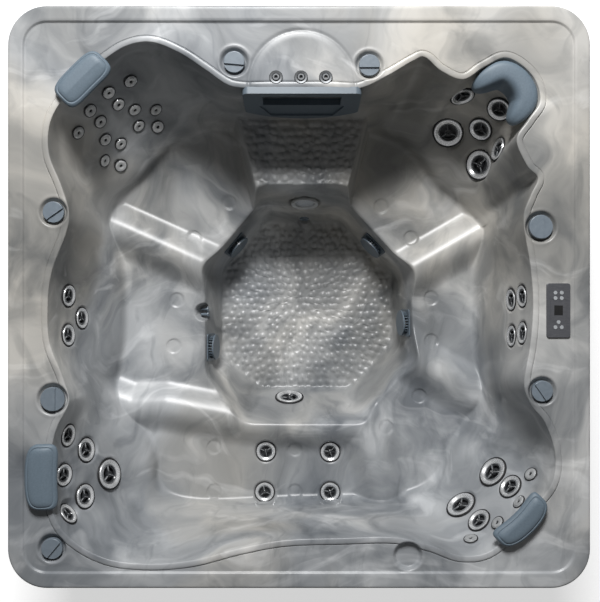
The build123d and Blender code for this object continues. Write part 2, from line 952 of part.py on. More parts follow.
with BuildPart() as light_housing:
    with Locations(light_plane):
        add(
            turned(
                (0, -light_body_length),
                (light_lens_radius, -light_body_length),
                (light_lens_radius, 0),
                (light_ring_radius, 0),
                (light_ring_radius * 0.96, light_ring_height),
                (light_lens_radius, light_ring_height * 0.6),
                (light_lens_radius - body_wall, 0),
                (light_lens_radius - body_wall, body_wall - light_body_length),
                (0, body_wall - light_body_length),
            )
        )
save(light_housing.part, "light_housing")

with BuildPart() as light_lens:
    lens_radius = light_lens_radius - body_wall - seat_gap
    with Locations(light_plane):
        add(
            turned(
                (0, -light_ring_height),
                (lens_radius, -light_ring_height),
                (lens_radius, 0),
                (lens_radius * 0.8, light_ring_height * 0.7),
                (lens_radius * 0.4, light_ring_height * 1.1),
                (0, light_ring_height * 1.2),
            )
        )
save(light_lens.part, "light_lens")


def small_fitting(ring, body):
    """A small wall fitting: a ring with a bore and a tail through the wall."""
    return turned(
        (body * 0.6, -return_body_length),
        (body, -return_body_length),
        (body, 0),
        (ring, 0),
        (ring * 0.9, fitting_ring_height),
        (body, fitting_ring_height),
        (body * 0.6, fitting_ring_height / 2),
    )


with BuildPart() as return_fittings:
    with Locations(*return_planes):
        add(small_fitting(return_ring_radius, return_body_radius))
    with Locations(*sensor_planes):
        add(small_fitting(sensor_ring_radius, sensor_body_radius))
save(return_fittings.part, "return_fittings")

with BuildPart() as fountain_nozzles:
    with Locations(*[(*at(share), deck_height + dome_rise) for share in fountain_shares]):
        add(
            turned(
                (fountain_bore, -fountain_stem_length),
                (fountain_stem_radius, -fountain_stem_length),
                (fountain_stem_radius, 0),
                (fountain_ring_radius, 0),
                (fountain_ring_radius, fountain_ring_height * 0.5),
                (fountain_ring_radius * 0.9, fountain_ring_height),
                (fountain_ring_radius * 0.65, fountain_ring_height * 0.8),
                (fountain_nozzle_radius, fountain_ring_height * 0.4),
                (fountain_nozzle_radius, fountain_nozzle_height),
                (fountain_bore, fountain_nozzle_height),
            )
        )
save(fountain_nozzles.part, "fountain_nozzles")


def knob_piece(radius):
    """A knob: a round cap whose smaller part is lower, on a stem."""
    with BuildPart() as piece:
        with Locations((0, 0, turning_gap)):
            Cylinder(radius, knob_height, align=upward)
        fillet(piece.edges().sort_by(Axis.Z)[-1], knob_edge)
        with BuildSketch(Plane.XY.offset(turning_gap + knob_height)):
            with Locations((radius * (knob_split_share + 1), 0)):
                Rectangle(2 * radius, 2 * radius)
        extrude(amount=-knob_step, mode=Mode.SUBTRACT)
        Cylinder(knob_stem_radius, knob_stem_length, align=downward)
        Cylinder(knob_stem_radius, 2 * turning_gap, align=upward)
    return piece.part


for knobs, radius in ((air_knobs, air_knob_radius), (diverter_knobs, diverter_knob_radius)):
    knob = knob_piece(radius)
    for name, (place, turn) in knobs.items():
        with BuildPart() as turning_knob:
            with Locations(Location((*place, dish_floor), (0, 0, turn))):
                add(knob)
        save(turning_knob.part, name)

with BuildPart() as knob_valve_bodies:
    valve_top = dish_floor - skin
    with Locations(*[(*place, valve_top) for place in knob_places]):
        Cylinder(valve_radius, valve_height, align=downward)
        Cylinder(valve_radius + valve_flange, valve_flange_height, align=downward)
    with Locations(*[(*place, valve_top) for place in knob_places]):
        Cylinder(
            knob_stem_radius + seat_gap, knob_stem_length, align=downward, mode=Mode.SUBTRACT
        )
        with Locations((0, 0, -valve_height)):
            Cylinder(valve_port_radius, valve_port_length, align=downward)
            Cylinder(valve_port_bore, 2 * valve_port_length, mode=Mode.SUBTRACT)
save(knob_valve_bodies.part, "knob_valve_bodies")

with BuildPart() as control_housing:
    with BuildSketch(Plane.XY.offset(deck_height + seat_gap)):
        with Locations((panel_x, panel_y)):
            RectangleRounded(control_width, control_length, control_corner)
    extrude(amount=control_plate)
    fillet(control_housing.edges().group_by(Axis.Z)[-1], control_plate / 4)
    with Locations((panel_x, panel_y, deck_height + seat_gap)):
        Box(
            control_hole[0] - 2 * seat_gap, control_hole[1] - 2 * seat_gap,
            control_tub_depth, align=downward,
        )
    plate_top = deck_height + seat_gap + control_plate
    with BuildSketch(Plane.XY.offset(plate_top)):
        with Locations((panel_x, panel_y)):
            RectangleRounded(screen_frame_width, screen_frame_length, control_corner / 2)
            RectangleRounded(
                screen_frame_width - 2 * screen_frame_groove,
                screen_frame_length - 2 * screen_frame_groove,
                control_corner / 3, mode=Mode.SUBTRACT,
            )
    extrude(amount=-screen_frame_groove_depth, mode=Mode.SUBTRACT)
    with BuildSketch(Plane.XY.offset(plate_top)):
        with Locations((panel_x, panel_y)):
            Rectangle(screen_width, screen_length)
    extrude(amount=-screen_thickness, mode=Mode.SUBTRACT)
    button_places = [(panel_x + x, panel_y + y) for x, y in button_offsets]
    with BuildSketch(Plane.XY.offset(plate_top)):
        with Locations(*button_places):
            Circle(button_radius + button_gap)
    extrude(amount=-button_depth - 2 * button_proud, mode=Mode.SUBTRACT)
save(control_housing.part, "control_housing")

with BuildPart() as control_display:
    with Locations((panel_x, panel_y, plate_top - screen_thickness)):
        Box(
            screen_width - 2 * seat_gap, screen_length - 2 * seat_gap,
            screen_thickness, align=upward,
        )
save(control_display.part, "control_display")

for number, place in enumerate(button_places, start=1):
    with BuildPart() as button:
        with Locations((*place, plate_top - button_depth)):
            Cylinder(button_radius, button_depth + button_proud, align=upward)
        fillet(button.edges().sort_by(Axis.Z)[-1], button_proud / 2)
    save(button.part, f"panel_button_{number}")


with BuildPart() as filter_housing:
    extrude(
        filter_outline(filter_plane.offset(seat_gap), -seat_gap, filter_stand), filter_thickness
    )
    front = filter_plane.offset(seat_gap + filter_thickness)
    mouth_middle = -(filter_mouth_top + filter_mouth_bottom) / 2
    mouth_height = filter_mouth_bottom - filter_mouth_top
    with BuildSketch(front):
        with Locations((0, mouth_middle)):
            Rectangle(2 * filter_mouth_half_width, mouth_height)
    extrude(amount=-2 * filter_thickness, mode=Mode.SUBTRACT)
    with BuildSketch(front):
        with BuildLine():
            Polyline(
                (-filter_tray_half_width, -filter_tray_top),
                (filter_tray_half_width, -filter_tray_top),
                (filter_tray_foot_half_width, -filter_tray_bottom),
                (-filter_tray_foot_half_width, -filter_tray_bottom),
                close=True,
            )
        make_face()
    extrude(amount=-filter_tray_depth, mode=Mode.SUBTRACT)
    hinge_drop = filter_mouth_bottom - door_barrel - door_end_gap
    ear_middle = filter_mouth_half_width + ear_thickness / 2
    for side in (-1, 1):
        with Locations(filter_plane.location * Location((side * ear_middle, -hinge_drop, seat_gap))):
            Box(ear_thickness, 2 * ear_radius, door_setback + ear_radius, align=(
                Align.CENTER, Align.CENTER, Align.MAX))
    pin_axis = filter_plane.location * Location((0, -hinge_drop, -door_setback), (0, 90, 0))
    with Locations(pin_axis):
        Cylinder(door_pin + seat_gap, 4 * filter_half_width / 2, mode=Mode.SUBTRACT)
save(filter_housing.part, "filter_housing")

with BuildPart() as weir_door:
    door_half = filter_mouth_half_width - door_end_gap
    with Locations(pin_axis):
        Cylinder(door_barrel, 2 * door_half)
        Cylinder(door_pin, 2 * (filter_mouth_half_width + ear_thickness))
    door_height = mouth_height - 2 * door_barrel - 2 * door_end_gap
    with Locations(filter_plane.location * Location((0, -hinge_drop, -door_setback))):
        Box(2 * door_half, door_height, door_thickness, align=(
            Align.CENTER, Align.MIN, Align.CENTER))
save(weir_door.part, "weir_door")

canister_front = canister_front_share * half_length
canister_rear = canister_rear_share * half_length
canister_depth = canister_rear - canister_front
canister_middle = (canister_front + canister_rear) / 2
canister_height = canister_top - canister_floor
with BuildPart() as filter_canister:
    with Locations((filter_x, canister_middle, canister_floor)):
        Box(2 * canister_half_width, canister_depth, canister_height, align=upward)
    neck_half = filter_mouth_half_width + filter_neck_wall
    with BuildSketch(filter_plane.offset(-skin - seat_gap)):
        with Locations((0, mouth_middle)):
            Rectangle(2 * (neck_half + filter_neck_wall), mouth_height + 2 * filter_neck_wall)
    extrude(amount=-filter_neck_length)
    with Locations((filter_x, canister_middle, canister_floor + canister_wall)):
        Box(
            2 * (canister_half_width - canister_wall), canister_depth - 2 * canister_wall,
            canister_height - 2 * canister_wall, align=upward, mode=Mode.SUBTRACT,
        )
    with BuildSketch(filter_plane):
        with Locations((0, mouth_middle)):
            Rectangle(2 * neck_half, mouth_height)
    extrude(amount=-2 * filter_neck_length, mode=Mode.SUBTRACT)
save(filter_canister.part, "filter_canister")

with BuildPart() as filter_cartridge:
    pleats = []
    for i in range(2 * cartridge_pleats):
        radius = cartridge_radius - cartridge_pleat_depth * (i % 2)
        angle = math.pi * i / cartridge_pleats
        pleats.append((radius * math.cos(angle), radius * math.sin(angle)))
    cartridge_base = canister_floor + canister_wall
    with BuildSketch(Plane.XY.offset(cartridge_base)):
        with Locations((filter_x, canister_middle)):
            Polygon(*pleats, align=None)
    extrude(amount=cartridge_height)
    with Locations((filter_x, canister_middle, cartridge_base)):
        Cylinder(cartridge_radius, cartridge_cap, align=upward)
        with Locations((0, 0, cartridge_height)):
            Cylinder(cartridge_radius, cartridge_cap, align=downward)
        Cylinder(cartridge_bore, 3 * cartridge_height, mode=Mode.SUBTRACT)
save(filter_cartridge.part, "filter_cartridge")


@dataclass(frozen=True)
class Pillow:
    """A head pillow: its middle and turn in the plan, and its sizes."""

    share: tuple
    turn: float
    length: float
    depth: float
    bow: float


pillows = {
    "pillow_rear_left": Pillow((-0.738, 0.743), 45.0, 208.0, 106.0, 4.0),
    "pillow_front_left": Pillow((-0.874, -0.615), 90.0, 244.0, 108.0, 12.0),
    "pillow_front_right": Pillow((0.750, -0.754), -135.0, 222.0, 84.0, 14.0),
}
pillow_base = bead_top + pillow_lift

# A pillow's rise from its base: share of its height, then inset as a share of its height
pillow_rise_shares = ((0.0, 0.20), (0.25, 0.03), (0.50, 0.0), (0.80, 0.14), (1.0, 0.50))


def pillow_face(plane, length, depth, bow, inset):
    """A pillow's outline: both long sides bow towards the tub's outside."""
    half, side = length / 2 - inset, depth / 2 - inset
    with BuildSketch(plane, mode=Mode.PRIVATE) as outline:
        with BuildLine():
            ThreePointArc((-half, side), (0, side + bow), (half, side))
            Line((half, side), (half, -side))
            ThreePointArc((half, -side), (0, -side + bow), (-half, -side))
            Line((-half, -side), (-half, side))
        make_face()
        fillet(outline.vertices(), pillow_corner_share * (depth - 2 * inset))
    return outline.sketch


for name, pillow in pillows.items():
    with BuildPart() as cushion:
        x, y = at(pillow.share)
        base = Plane(Location((x, y, pillow_base), (0, 0, pillow.turn)))
        sections = []
        for rise_share, inset_share in pillow_rise_shares:
            level = base.offset(rise_share * pillow_height)
            inset = inset_share * pillow_height
            sections.append(pillow_face(level, pillow.length, pillow.depth, pillow.bow, inset))
        loft(sections=sections, ruled=True)
    save(cushion.part, name)

# The wrap pillow's ring of points: basin point number, then share of its full depth
wrap_shares = ((9, 0.30), (10, 0.72), (11, 1.0), (12, 1.0), (13, 0.95), (14, 0.35))
wrap_levels = ((906.0, 55.0), (885.0, 82.0), (840.0, 96.0), (800.0, 88.0), (778.0, 60.0))
with BuildPart() as pillow_rear_right:
    sections = []
    for level, depth in wrap_levels:
        back = basin_section(run_at(level), -wrap_pillow_gap)
        outer = [back[i] for i, share in wrap_shares]
        inner = []
        for i, share in wrap_shares:
            inner.append(basin_section(run_at(level), -depth * share)[i])
        sections.append(polygon_face(outer + inner[::-1], level, 0))
    loft(sections=sections, ruled=True)
save(pillow_rear_right.part, "pillow_rear_right")

with BuildPart() as base_pan:
    with BuildSketch():
        RectangleRounded(2 * pan_half_width, 2 * pan_half_length, corner_radius - panel_inset)
    extrude(amount=pan_rim_height)
    with BuildSketch(Plane.XY.offset(pan_thickness)):
        RectangleRounded(
            2 * (pan_half_width - pan_rim_thickness),
            2 * (pan_half_length - pan_rim_thickness),
            corner_radius - panel_inset - pan_rim_thickness,
        )
    extrude(amount=pan_rim_height, mode=Mode.SUBTRACT)
save(base_pan.part, "base_pan")

panel_half_width = half_width - panel_inset
panel_half_length = half_length - panel_inset
timber_half_width = panel_half_width - panel_thickness - seat_gap
timber_half_length = panel_half_length - panel_thickness - seat_gap
timber_top = deck_underside - seat_gap
timber_corner = corner_radius - panel_inset - panel_thickness
timber_middle_x = timber_half_width - timber_width / 2
timber_middle_y = timber_half_length - timber_width / 2

with BuildPart() as cabinet_frame:
    for level in (pan_thickness, timber_top - timber_rail_height):
        with BuildSketch(Plane.XY.offset(level)):
            RectangleRounded(2 * timber_half_width, 2 * timber_half_length, timber_corner)
            Rectangle(
                2 * (timber_half_width - timber_width),
                2 * (timber_half_length - timber_width), mode=Mode.SUBTRACT,
            )
        extrude(amount=timber_rail_height)
    posts = [(x, side * timber_middle_y) for side in (-1, 1) for x in (-post_offset, 0, post_offset)]
    posts += [(side * timber_middle_x, y) for side in (-1, 1) for y in (-post_offset, 0, post_offset)]
    with BuildSketch(Plane.XY.offset(pan_thickness)):
        with Locations(*posts):
            Rectangle(timber_width, timber_width)
    extrude(amount=timber_top - pan_thickness)

screw_heights = (pan_rim_height + screw_inset, timber_top - timber_rail_height / 2 - screw_inset)
screw_planes = []
for height in screw_heights:
    for side in (-1, 1):
        for offset in (-post_offset, post_offset):
            screw_planes.append(
                Plane((offset, side * panel_half_length, height), z_dir=(0, side, 0))
            )
            screw_planes.append(
                Plane((side * panel_half_width, offset, height), z_dir=(side, 0, 0))
            )

with BuildPart() as screw_holes:
    with Locations(*screw_planes):
        Cylinder(screw_radius + seat_gap, 2 * screw_length)

with BuildPart() as cabinet_frame_drilled:
    add(cabinet_frame.part)
    add(screw_holes.part, mode=Mode.SUBTRACT)
    with Locations((*at(blank_dish_share), dish_floor - skin - seat_gap)):
        Cylinder(air_dish_radius + skin + seat_gap, overrun, align=upward, mode=Mode.SUBTRACT)
save(cabinet_frame_drilled.part, "cabinet_frame")

with BuildPart() as panel_screws:
    with Locations(*screw_planes):
        Cylinder(screw_head_radius, screw_head_height, align=upward)
        Cylinder(screw_radius, screw_length, align=downward)
save(panel_screws.part, "panel_screws")

with BuildPart() as sleepers:
    with BuildSketch(Plane.XY.offset(pan_thickness)):
        with Locations((-sleeper_offset, 0), (sleeper_offset, 0)):
            Rectangle(timber_width, sleeper_length)
    extrude(amount=floor_height - skin - seat_gap - pan_thickness)
save(sleepers.part, "footwell_sleepers")

panel_bottom = pan_thickness + seat_gap
panel_height = panel_top - panel_bottom
panel_run = half_width - panel_corner_reach
slat_count = int(panel_height / slat_pitch)


def cabinet_panel(plane, length, name):
    """A cabinet panel on its outer face's plane, with level grooves between its slats."""
    with BuildPart() as panel:
        with BuildSketch(plane):
            Rectangle(2 * length, panel_height)
        extrude(amount=-panel_thickness)
        with BuildSketch(plane):
            with GridLocations(0, slat_pitch, 1, slat_count):
                Rectangle(2 * length, slat_groove)
        extrude(amount=-slat_groove_depth, mode=Mode.SUBTRACT)
        add(screw_holes.part, mode=Mode.SUBTRACT)
        if name == "panel_right":
            with Locations(drain_plane):
                Cylinder(drain_radius + seat_gap, 2 * panel_thickness, mode=Mode.SUBTRACT)
            with Locations(inlet_plane):
                Cylinder(inlet_bore + body_wall + seat_gap, 2 * panel_thickness,
                         mode=Mode.SUBTRACT)
    save(panel.part, name)


panel_level = (panel_bottom + panel_top) / 2
drain_plane = Plane((panel_half_width, drain_y, drain_height), x_dir=(0, 1, 0), z_dir=(1, 0, 0))
inlet_plane = Plane((panel_half_width, -drain_y, drain_height), x_dir=(0, 1, 0), z_dir=(1, 0, 0))
panel_planes = {
    "panel_front": Plane((0, -panel_half_length, panel_level), x_dir=(1, 0, 0), z_dir=(0, -1, 0)),
    "panel_rear": Plane((0, panel_half_length, panel_level), x_dir=(-1, 0, 0), z_dir=(0, 1, 0)),
    "panel_left": Plane((-panel_half_width, 0, panel_level), x_dir=(0, -1, 0), z_dir=(-1, 0, 0)),
    "panel_right": Plane((panel_half_width, 0, panel_level), x_dir=(0, 1, 0), z_dir=(1, 0, 0)),
}
for name, plane in panel_planes.items():
    cabinet_panel(plane, panel_run, name)

with BuildPart() as cabinet_corners:
    with BuildSketch(Plane.XY.offset(panel_bottom)):
        outer_radius = corner_radius - panel_inset
        RectangleRounded(2 * panel_half_width, 2 * panel_half_length, outer_radius)
        RectangleRounded(
            2 * (panel_half_width - panel_thickness),
            2 * (panel_half_length - panel_thickness),
            outer_radius - panel_thickness, mode=Mode.SUBTRACT,
        )
        Rectangle(2 * (panel_run + seat_gap), 2 * half_length, mode=Mode.SUBTRACT)
        Rectangle(2 * half_width, 2 * (panel_run + seat_gap), mode=Mode.SUBTRACT)
    extrude(amount=panel_height)
save(cabinet_corners.part, "cabinet_corners")


def pump_plane(x):
    """A pump's own frame: its Z axis runs along the shaft, from the wet end to the motor."""
    return Plane((x, pump_start_y, pump_axis_height), x_dir=(1, 0, 0), z_dir=(0, 1, 0))


pump_planes = [pump_plane(x) for x in pump_x_positions]
motor_start = volute_length + seat_gap
motor_end = motor_start + pump_motor_length
shaft_bore = shaft_radius + shaft_gap
cavity_radius = pump_radius - pump_wall * 2
foot_height = pump_axis_height - pan_thickness - pump_radius * 0.6

with BuildPart() as pump_motors:
    for plane in pump_planes:
        with Locations(plane.offset(motor_start)):
            Cylinder(pump_radius, pump_motor_length, align=upward)
        with BuildSketch(plane.offset(motor_start + pump_wall)):
            with Locations((0, -pump_axis_height + pan_thickness + foot_height / 2)):
                Rectangle(pump_foot_width, foot_height)
        extrude(amount=pump_motor_length - 2 * pump_wall)
        with Locations(plane.offset(motor_start + 2 * pump_wall)):
            Cylinder(
                cavity_radius, pump_motor_length - 4 * pump_wall,
                align=upward, mode=Mode.SUBTRACT,
            )
        with Locations(plane.offset(motor_start)):
            Cylinder(
                shaft_bore, pump_motor_length - pump_wall, align=upward, mode=Mode.SUBTRACT
            )
save(pump_motors.part, "pump_motors")

discharge_top = pump_axis_height + volute_radius + pump_port_length
with BuildPart() as pump_wet_ends:
    for plane, x in zip(pump_planes, pump_x_positions):
        with Locations(plane):
            Cylinder(volute_radius, volute_length, align=upward)
            Cylinder(pump_port_radius + pump_wall, pump_port_length, align=downward)
        with Locations((x, pump_start_y + volute_length / 2, pump_axis_height)):
            Cylinder(pump_port_radius + pump_wall, volute_radius + pump_port_length, align=upward)
        with Locations(plane.offset(pump_wall)):
            Cylinder(
                volute_radius - pump_wall, volute_length - 2 * pump_wall,
                align=upward, mode=Mode.SUBTRACT,
            )
        with Locations(plane.offset(-pump_port_length)):
            Cylinder(
                pipe_bore, pump_port_length + 2 * pump_wall, align=upward, mode=Mode.SUBTRACT
            )
        with Locations(plane.offset(volute_length - 2 * pump_wall)):
            Cylinder(shaft_bore, 3 * pump_wall, align=upward, mode=Mode.SUBTRACT)
        with Locations((x, pump_start_y + volute_length / 2, pump_axis_height)):
            Cylinder(
                pipe_bore, volute_radius + 2 * pump_port_length,
                align=upward, mode=Mode.SUBTRACT,
            )
save(pump_wet_ends.part, "pump_wet_ends")

for number, plane in enumerate(pump_planes, start=1):
    with BuildPart() as rotor:
        shaft_start = volute_length / 2 - impeller_thickness / 2
        with Locations(plane.offset(shaft_start)):
            Cylinder(
                shaft_radius, motor_end - 2 * pump_wall - shaft_start, align=upward
            )
            Cylinder(impeller_radius, impeller_thickness, align=upward)
        with Locations(plane.offset(motor_start + 5 * pump_wall)):
            Cylinder(rotor_radius, pump_motor_length - 10 * pump_wall, align=upward)
    save(rotor.part, f"pump_rotor_{number}")

heater_x = pump_x_positions[0]
heater_plane = Plane((heater_x, heater_start_y, heater_height), x_dir=(1, 0, 0), z_dir=(0, 1, 0))
with BuildPart() as heater:
    with Locations(heater_plane):
        Cylinder(heater_radius, heater_length, align=upward)
        Cylinder(heater_radius + heater_flange, heater_flange, align=upward)
    with Locations(heater_plane.offset(heater_length)):
        Cylinder(heater_radius + heater_flange, heater_flange, align=downward)
    with Locations(heater_plane):
        Cylinder(pipe_bore, 3 * heater_length, mode=Mode.SUBTRACT)
save(heater.part, "heater")

with BuildPart() as control_box:
    with Locations((*control_box_center, pan_thickness)):
        Box(*control_box_size, align=upward)
    fillet(control_box.edges().filter_by(Axis.Z), heater_flange)
save(control_box.part, "control_box")

with BuildPart() as manifolds:
    ends = 2 * manifold_half_length
    for x in manifold_x_positions:
        middle = Plane((x, 0, manifold_height), x_dir=(1, 0, 0), z_dir=(0, 1, 0))
        with Locations(middle):
            Cylinder(manifold_radius, ends)
        with Locations((x, 0, manifold_height)):
            with GridLocations(0, nipple_pitch, 1, nipple_count):
                Cylinder(nipple_radius, manifold_radius + nipple_length, align=upward)
    for x in manifold_x_positions:
        middle = Plane((x, 0, manifold_height), x_dir=(1, 0, 0), z_dir=(0, 1, 0))
        with Locations(middle):
            Cylinder(manifold_bore, ends - 4 * pump_wall, mode=Mode.SUBTRACT)
        with Locations((x, 0, manifold_height)):
            with GridLocations(0, nipple_pitch, 1, nipple_count):
                Cylinder(
                    nipple_bore, 2 * manifold_radius + nipple_length,
                    align=upward, mode=Mode.SUBTRACT,
                )
save(manifolds.part, "water_manifolds")

port_end = pump_start_y - pump_port_length
entry = port_end - 2 * pipe_bend
suction_tails = [plane.offset(-suction_body_length) for plane in suction_planes]
right_tail, rear_tail = suction_tails[3], suction_tails[1]
pipe_step = 2 * pipe_bend


def along(plane, distance):
    """The point this far behind a fitting's tail."""
    return tuple(plane.offset(-distance).origin)


first_x, second_x = pump_x_positions
bay_shelf = heater_height - pipe_step
discharge_y = pump_start_y + volute_length / 2
manifold_end = manifold_half_length
pipe_routes = (
    (
        along(right_tail, 0),
        along(right_tail, pipe_step),
        (first_x - 1.4 * pipe_step, entry, pump_axis_height + 1.2 * pipe_step),
        (first_x, entry, pump_axis_height),
        (first_x, port_end, pump_axis_height),
    ),
    (
        along(rear_tail, 0),
        along(rear_tail, pipe_step),
        ((first_x + second_x) / 2, -heater_start_y + heater_length, bay_shelf),
        ((first_x + second_x) / 2, entry, bay_shelf),
        (second_x, entry, pump_axis_height),
        (second_x, port_end, pump_axis_height),
    ),
    (
        (first_x, discharge_y, discharge_top),
        (first_x, discharge_y, heater_height),
        (first_x, heater_start_y, heater_height),
    ),
    (
        (first_x, heater_start_y + heater_length, heater_height),
        (first_x, manifold_end + 2 * pipe_step, heater_height),
        (manifold_x_positions[0], manifold_end + 2 * pipe_step, heater_height),
        (manifold_x_positions[0], manifold_end + 2 * pipe_step, manifold_height),
        (manifold_x_positions[0], manifold_end, manifold_height),
    ),
    (
        (second_x, discharge_y, discharge_top),
        (second_x, discharge_y, heater_height),
        (manifold_x_positions[1], discharge_y, heater_height),
        (manifold_x_positions[1], discharge_y, manifold_height - manifold_radius),
    ),
)


def tube(route, radius, bore, bend):
    """A tube of this radius and bore along straight runs with round bends."""
    with BuildPart() as run:
        with BuildLine() as path:
            FilletPolyline(*route, radius=bend)
        start = Plane(path.line @ 0, z_dir=path.line % 0)
        with BuildSketch(start):
            Circle(radius)
            Circle(bore, mode=Mode.SUBTRACT)
        sweep()
    return run.part


with BuildPart() as pipes:
    for route in pipe_routes:
        add(tube(route, pipe_radius, pipe_bore, pipe_bend))
save(pipes.part, "water_pipes")

with BuildPart() as drain_valve_body:
    drain_foot = (drain_x, drain_y, drain_height / 2)
    drain_route = (
        (drain_x, drain_y + pipe_step, drain_height / 2),
        drain_foot,
        (first_x - pipe_step, drain_y, drain_height / 2),
        (first_x, drain_y, drain_height),
        (panel_half_width + drain_stub, drain_y, drain_height),
    )
    add(tube(drain_route, drain_radius, drain_bore, pipe_bend))
    with Locations(drain_plane.offset(seat_gap)):
        Cylinder(drain_flange_radius, drain_stub / 3, align=upward)
        Cylinder(drain_bore, 3 * drain_stub, mode=Mode.SUBTRACT)
save(drain_valve_body.part, "drain_valve_body")

with BuildPart() as drain_valve_cap:
    with Locations(drain_plane.offset(drain_stub + seat_gap - cap_length / 2)):
        Cylinder(cap_radius, cap_length, align=upward)
        Cylinder(
            drain_radius + seat_gap, cap_length - body_wall / 2 - cap_length / 4,
            align=upward, mode=Mode.SUBTRACT,
        )
save(drain_valve_cap.part, "drain_valve_cap")

with BuildPart() as power_inlet:
    with Locations(inlet_plane.offset(seat_gap)):
        Cylinder(inlet_radius, body_wall * 2, align=upward)
        Cylinder(inlet_bore + body_wall, inlet_length, align=downward)
        Cylinder(inlet_bore, 3 * inlet_length, mode=Mode.SUBTRACT)
save(power_inlet.part, "power_inlet")
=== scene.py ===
"""The hot tub's visual model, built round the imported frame."""

import logging
import math
from dataclasses import dataclass, field
from enum import Enum

import bmesh
import bpy
import numpy as np
from bpy.types import Material, Node, NodeSocket, NodeTree, Object
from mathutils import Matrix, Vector


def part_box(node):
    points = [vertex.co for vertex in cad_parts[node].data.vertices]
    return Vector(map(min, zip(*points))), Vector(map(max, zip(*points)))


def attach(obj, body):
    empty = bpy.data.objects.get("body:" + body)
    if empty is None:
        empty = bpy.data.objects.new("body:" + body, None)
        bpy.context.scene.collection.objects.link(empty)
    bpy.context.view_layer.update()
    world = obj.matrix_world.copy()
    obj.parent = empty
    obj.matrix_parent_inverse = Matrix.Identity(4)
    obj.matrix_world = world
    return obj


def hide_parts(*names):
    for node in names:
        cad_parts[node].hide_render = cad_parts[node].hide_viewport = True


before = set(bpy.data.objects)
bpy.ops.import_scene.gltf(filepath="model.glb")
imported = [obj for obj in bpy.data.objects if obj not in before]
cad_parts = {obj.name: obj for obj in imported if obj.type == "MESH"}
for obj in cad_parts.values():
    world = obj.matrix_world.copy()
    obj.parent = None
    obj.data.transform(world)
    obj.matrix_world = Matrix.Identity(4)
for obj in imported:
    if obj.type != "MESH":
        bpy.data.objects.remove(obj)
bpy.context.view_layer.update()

log = logging.getLogger("hot_tub")

# The whole tub's driving sizes, in metres
HALF = 1.1175
CORNER_RADIUS = 0.150
RIM_HEIGHT = 0.915
RIM_BAND = 0.060
RIM_STEP = 0.008
LIP_DROP = 0.048
LIP_EDGE = 0.010
SKIN = 0.008
DECK_HEIGHT = RIM_HEIGHT - RIM_STEP
BEAD_HEIGHT = 0.005
CREST_HEIGHT = 0.430
SEAT_HEIGHT = 0.370
STEP_HEIGHT = 0.540
FLOOR_HEIGHT = 0.080
FOOTWELL_CORNER = 0.110
DISH_DEPTH = 0.018
DISH_MARGIN = 0.0125

# Wall profile from the bead to the crest level: depth share, then run share
PROFILE_SHARES = ((0.0, 0.0), (0.20, 0.08), (0.78, 0.62), (1.0, 1.0))

# Basin outline, clockwise from the filter: top x and y, then x and y at the crest level
BASIN_SHARES = (
    (-0.192, 0.718, -0.192, 0.660), (-0.093, 0.718, -0.093, 0.660),
    (0.010, 0.718, 0.010, 0.660), (0.113, 0.718, 0.113, 0.660),
    (0.213, 0.718, 0.213, 0.660), (0.309, 0.763, 0.288, 0.667),
    (0.392, 0.811, 0.340, 0.652), (0.433, 0.823, 0.359, 0.644),
    (0.488, 0.777, 0.391, 0.632), (0.564, 0.747, 0.430, 0.608),
    (0.636, 0.790, 0.466, 0.577), (0.715, 0.821, 0.509, 0.525),
    (0.799, 0.763, 0.553, 0.462), (0.828, 0.677, 0.604, 0.423),
    (0.787, 0.608, 0.644, 0.391), (0.747, 0.540, 0.675, 0.359),
    (0.784, 0.450, 0.695, 0.332), (0.820, 0.409, 0.711, 0.304),
    (0.794, 0.347, 0.723, 0.280), (0.770, 0.265, 0.731, 0.257),
    (0.794, 0.110, 0.723, 0.126), (0.804, -0.024, 0.719, -0.028),
    (0.794, -0.165, 0.723, -0.170), (0.773, -0.296, 0.731, -0.288),
    (0.797, -0.371, 0.731, -0.336), (0.845, -0.433, 0.723, -0.387),
    (0.880, -0.543, 0.707, -0.454), (0.863, -0.649, 0.675, -0.525),
    (0.775, -0.749, 0.628, -0.596), (0.667, -0.866, 0.584, -0.699),
    (0.560, -0.888, 0.525, -0.758), (0.450, -0.852, 0.438, -0.796),
    (0.330, -0.825, 0.340, -0.808), (0.141, -0.828, 0.154, -0.815),
    (-0.048, -0.835, -0.047, -0.820), (-0.203, -0.863, -0.193, -0.826),
    (-0.364, -0.904, -0.304, -0.831), (-0.512, -0.916, -0.407, -0.829),
    (-0.656, -0.900, -0.494, -0.815), (-0.770, -0.842, -0.553, -0.786),
    (-0.835, -0.763, -0.577, -0.734), (-0.856, -0.653, -0.580, -0.652),
    (-0.852, -0.543, -0.612, -0.565), (-0.832, -0.450, -0.675, -0.478),
    (-0.790, -0.361, -0.738, -0.351), (-0.811, -0.275, -0.731, -0.272),
    (-0.856, -0.158, -0.715, -0.170), (-0.863, -0.034, -0.711, -0.032),
    (-0.849, 0.086, -0.715, 0.087), (-0.801, 0.216, -0.738, 0.233),
    (-0.789, 0.292, -0.750, 0.296), (-0.818, 0.388, -0.742, 0.351),
    (-0.859, 0.498, -0.715, 0.407), (-0.849, 0.615, -0.667, 0.454),
    (-0.770, 0.729, -0.604, 0.509), (-0.674, 0.811, -0.549, 0.573),
    (-0.591, 0.863, -0.494, 0.628), (-0.505, 0.875, -0.434, 0.671),
    (-0.409, 0.838, -0.363, 0.691), (-0.320, 0.780, -0.304, 0.691),
    (-0.251, 0.732, -0.257, 0.683),
)

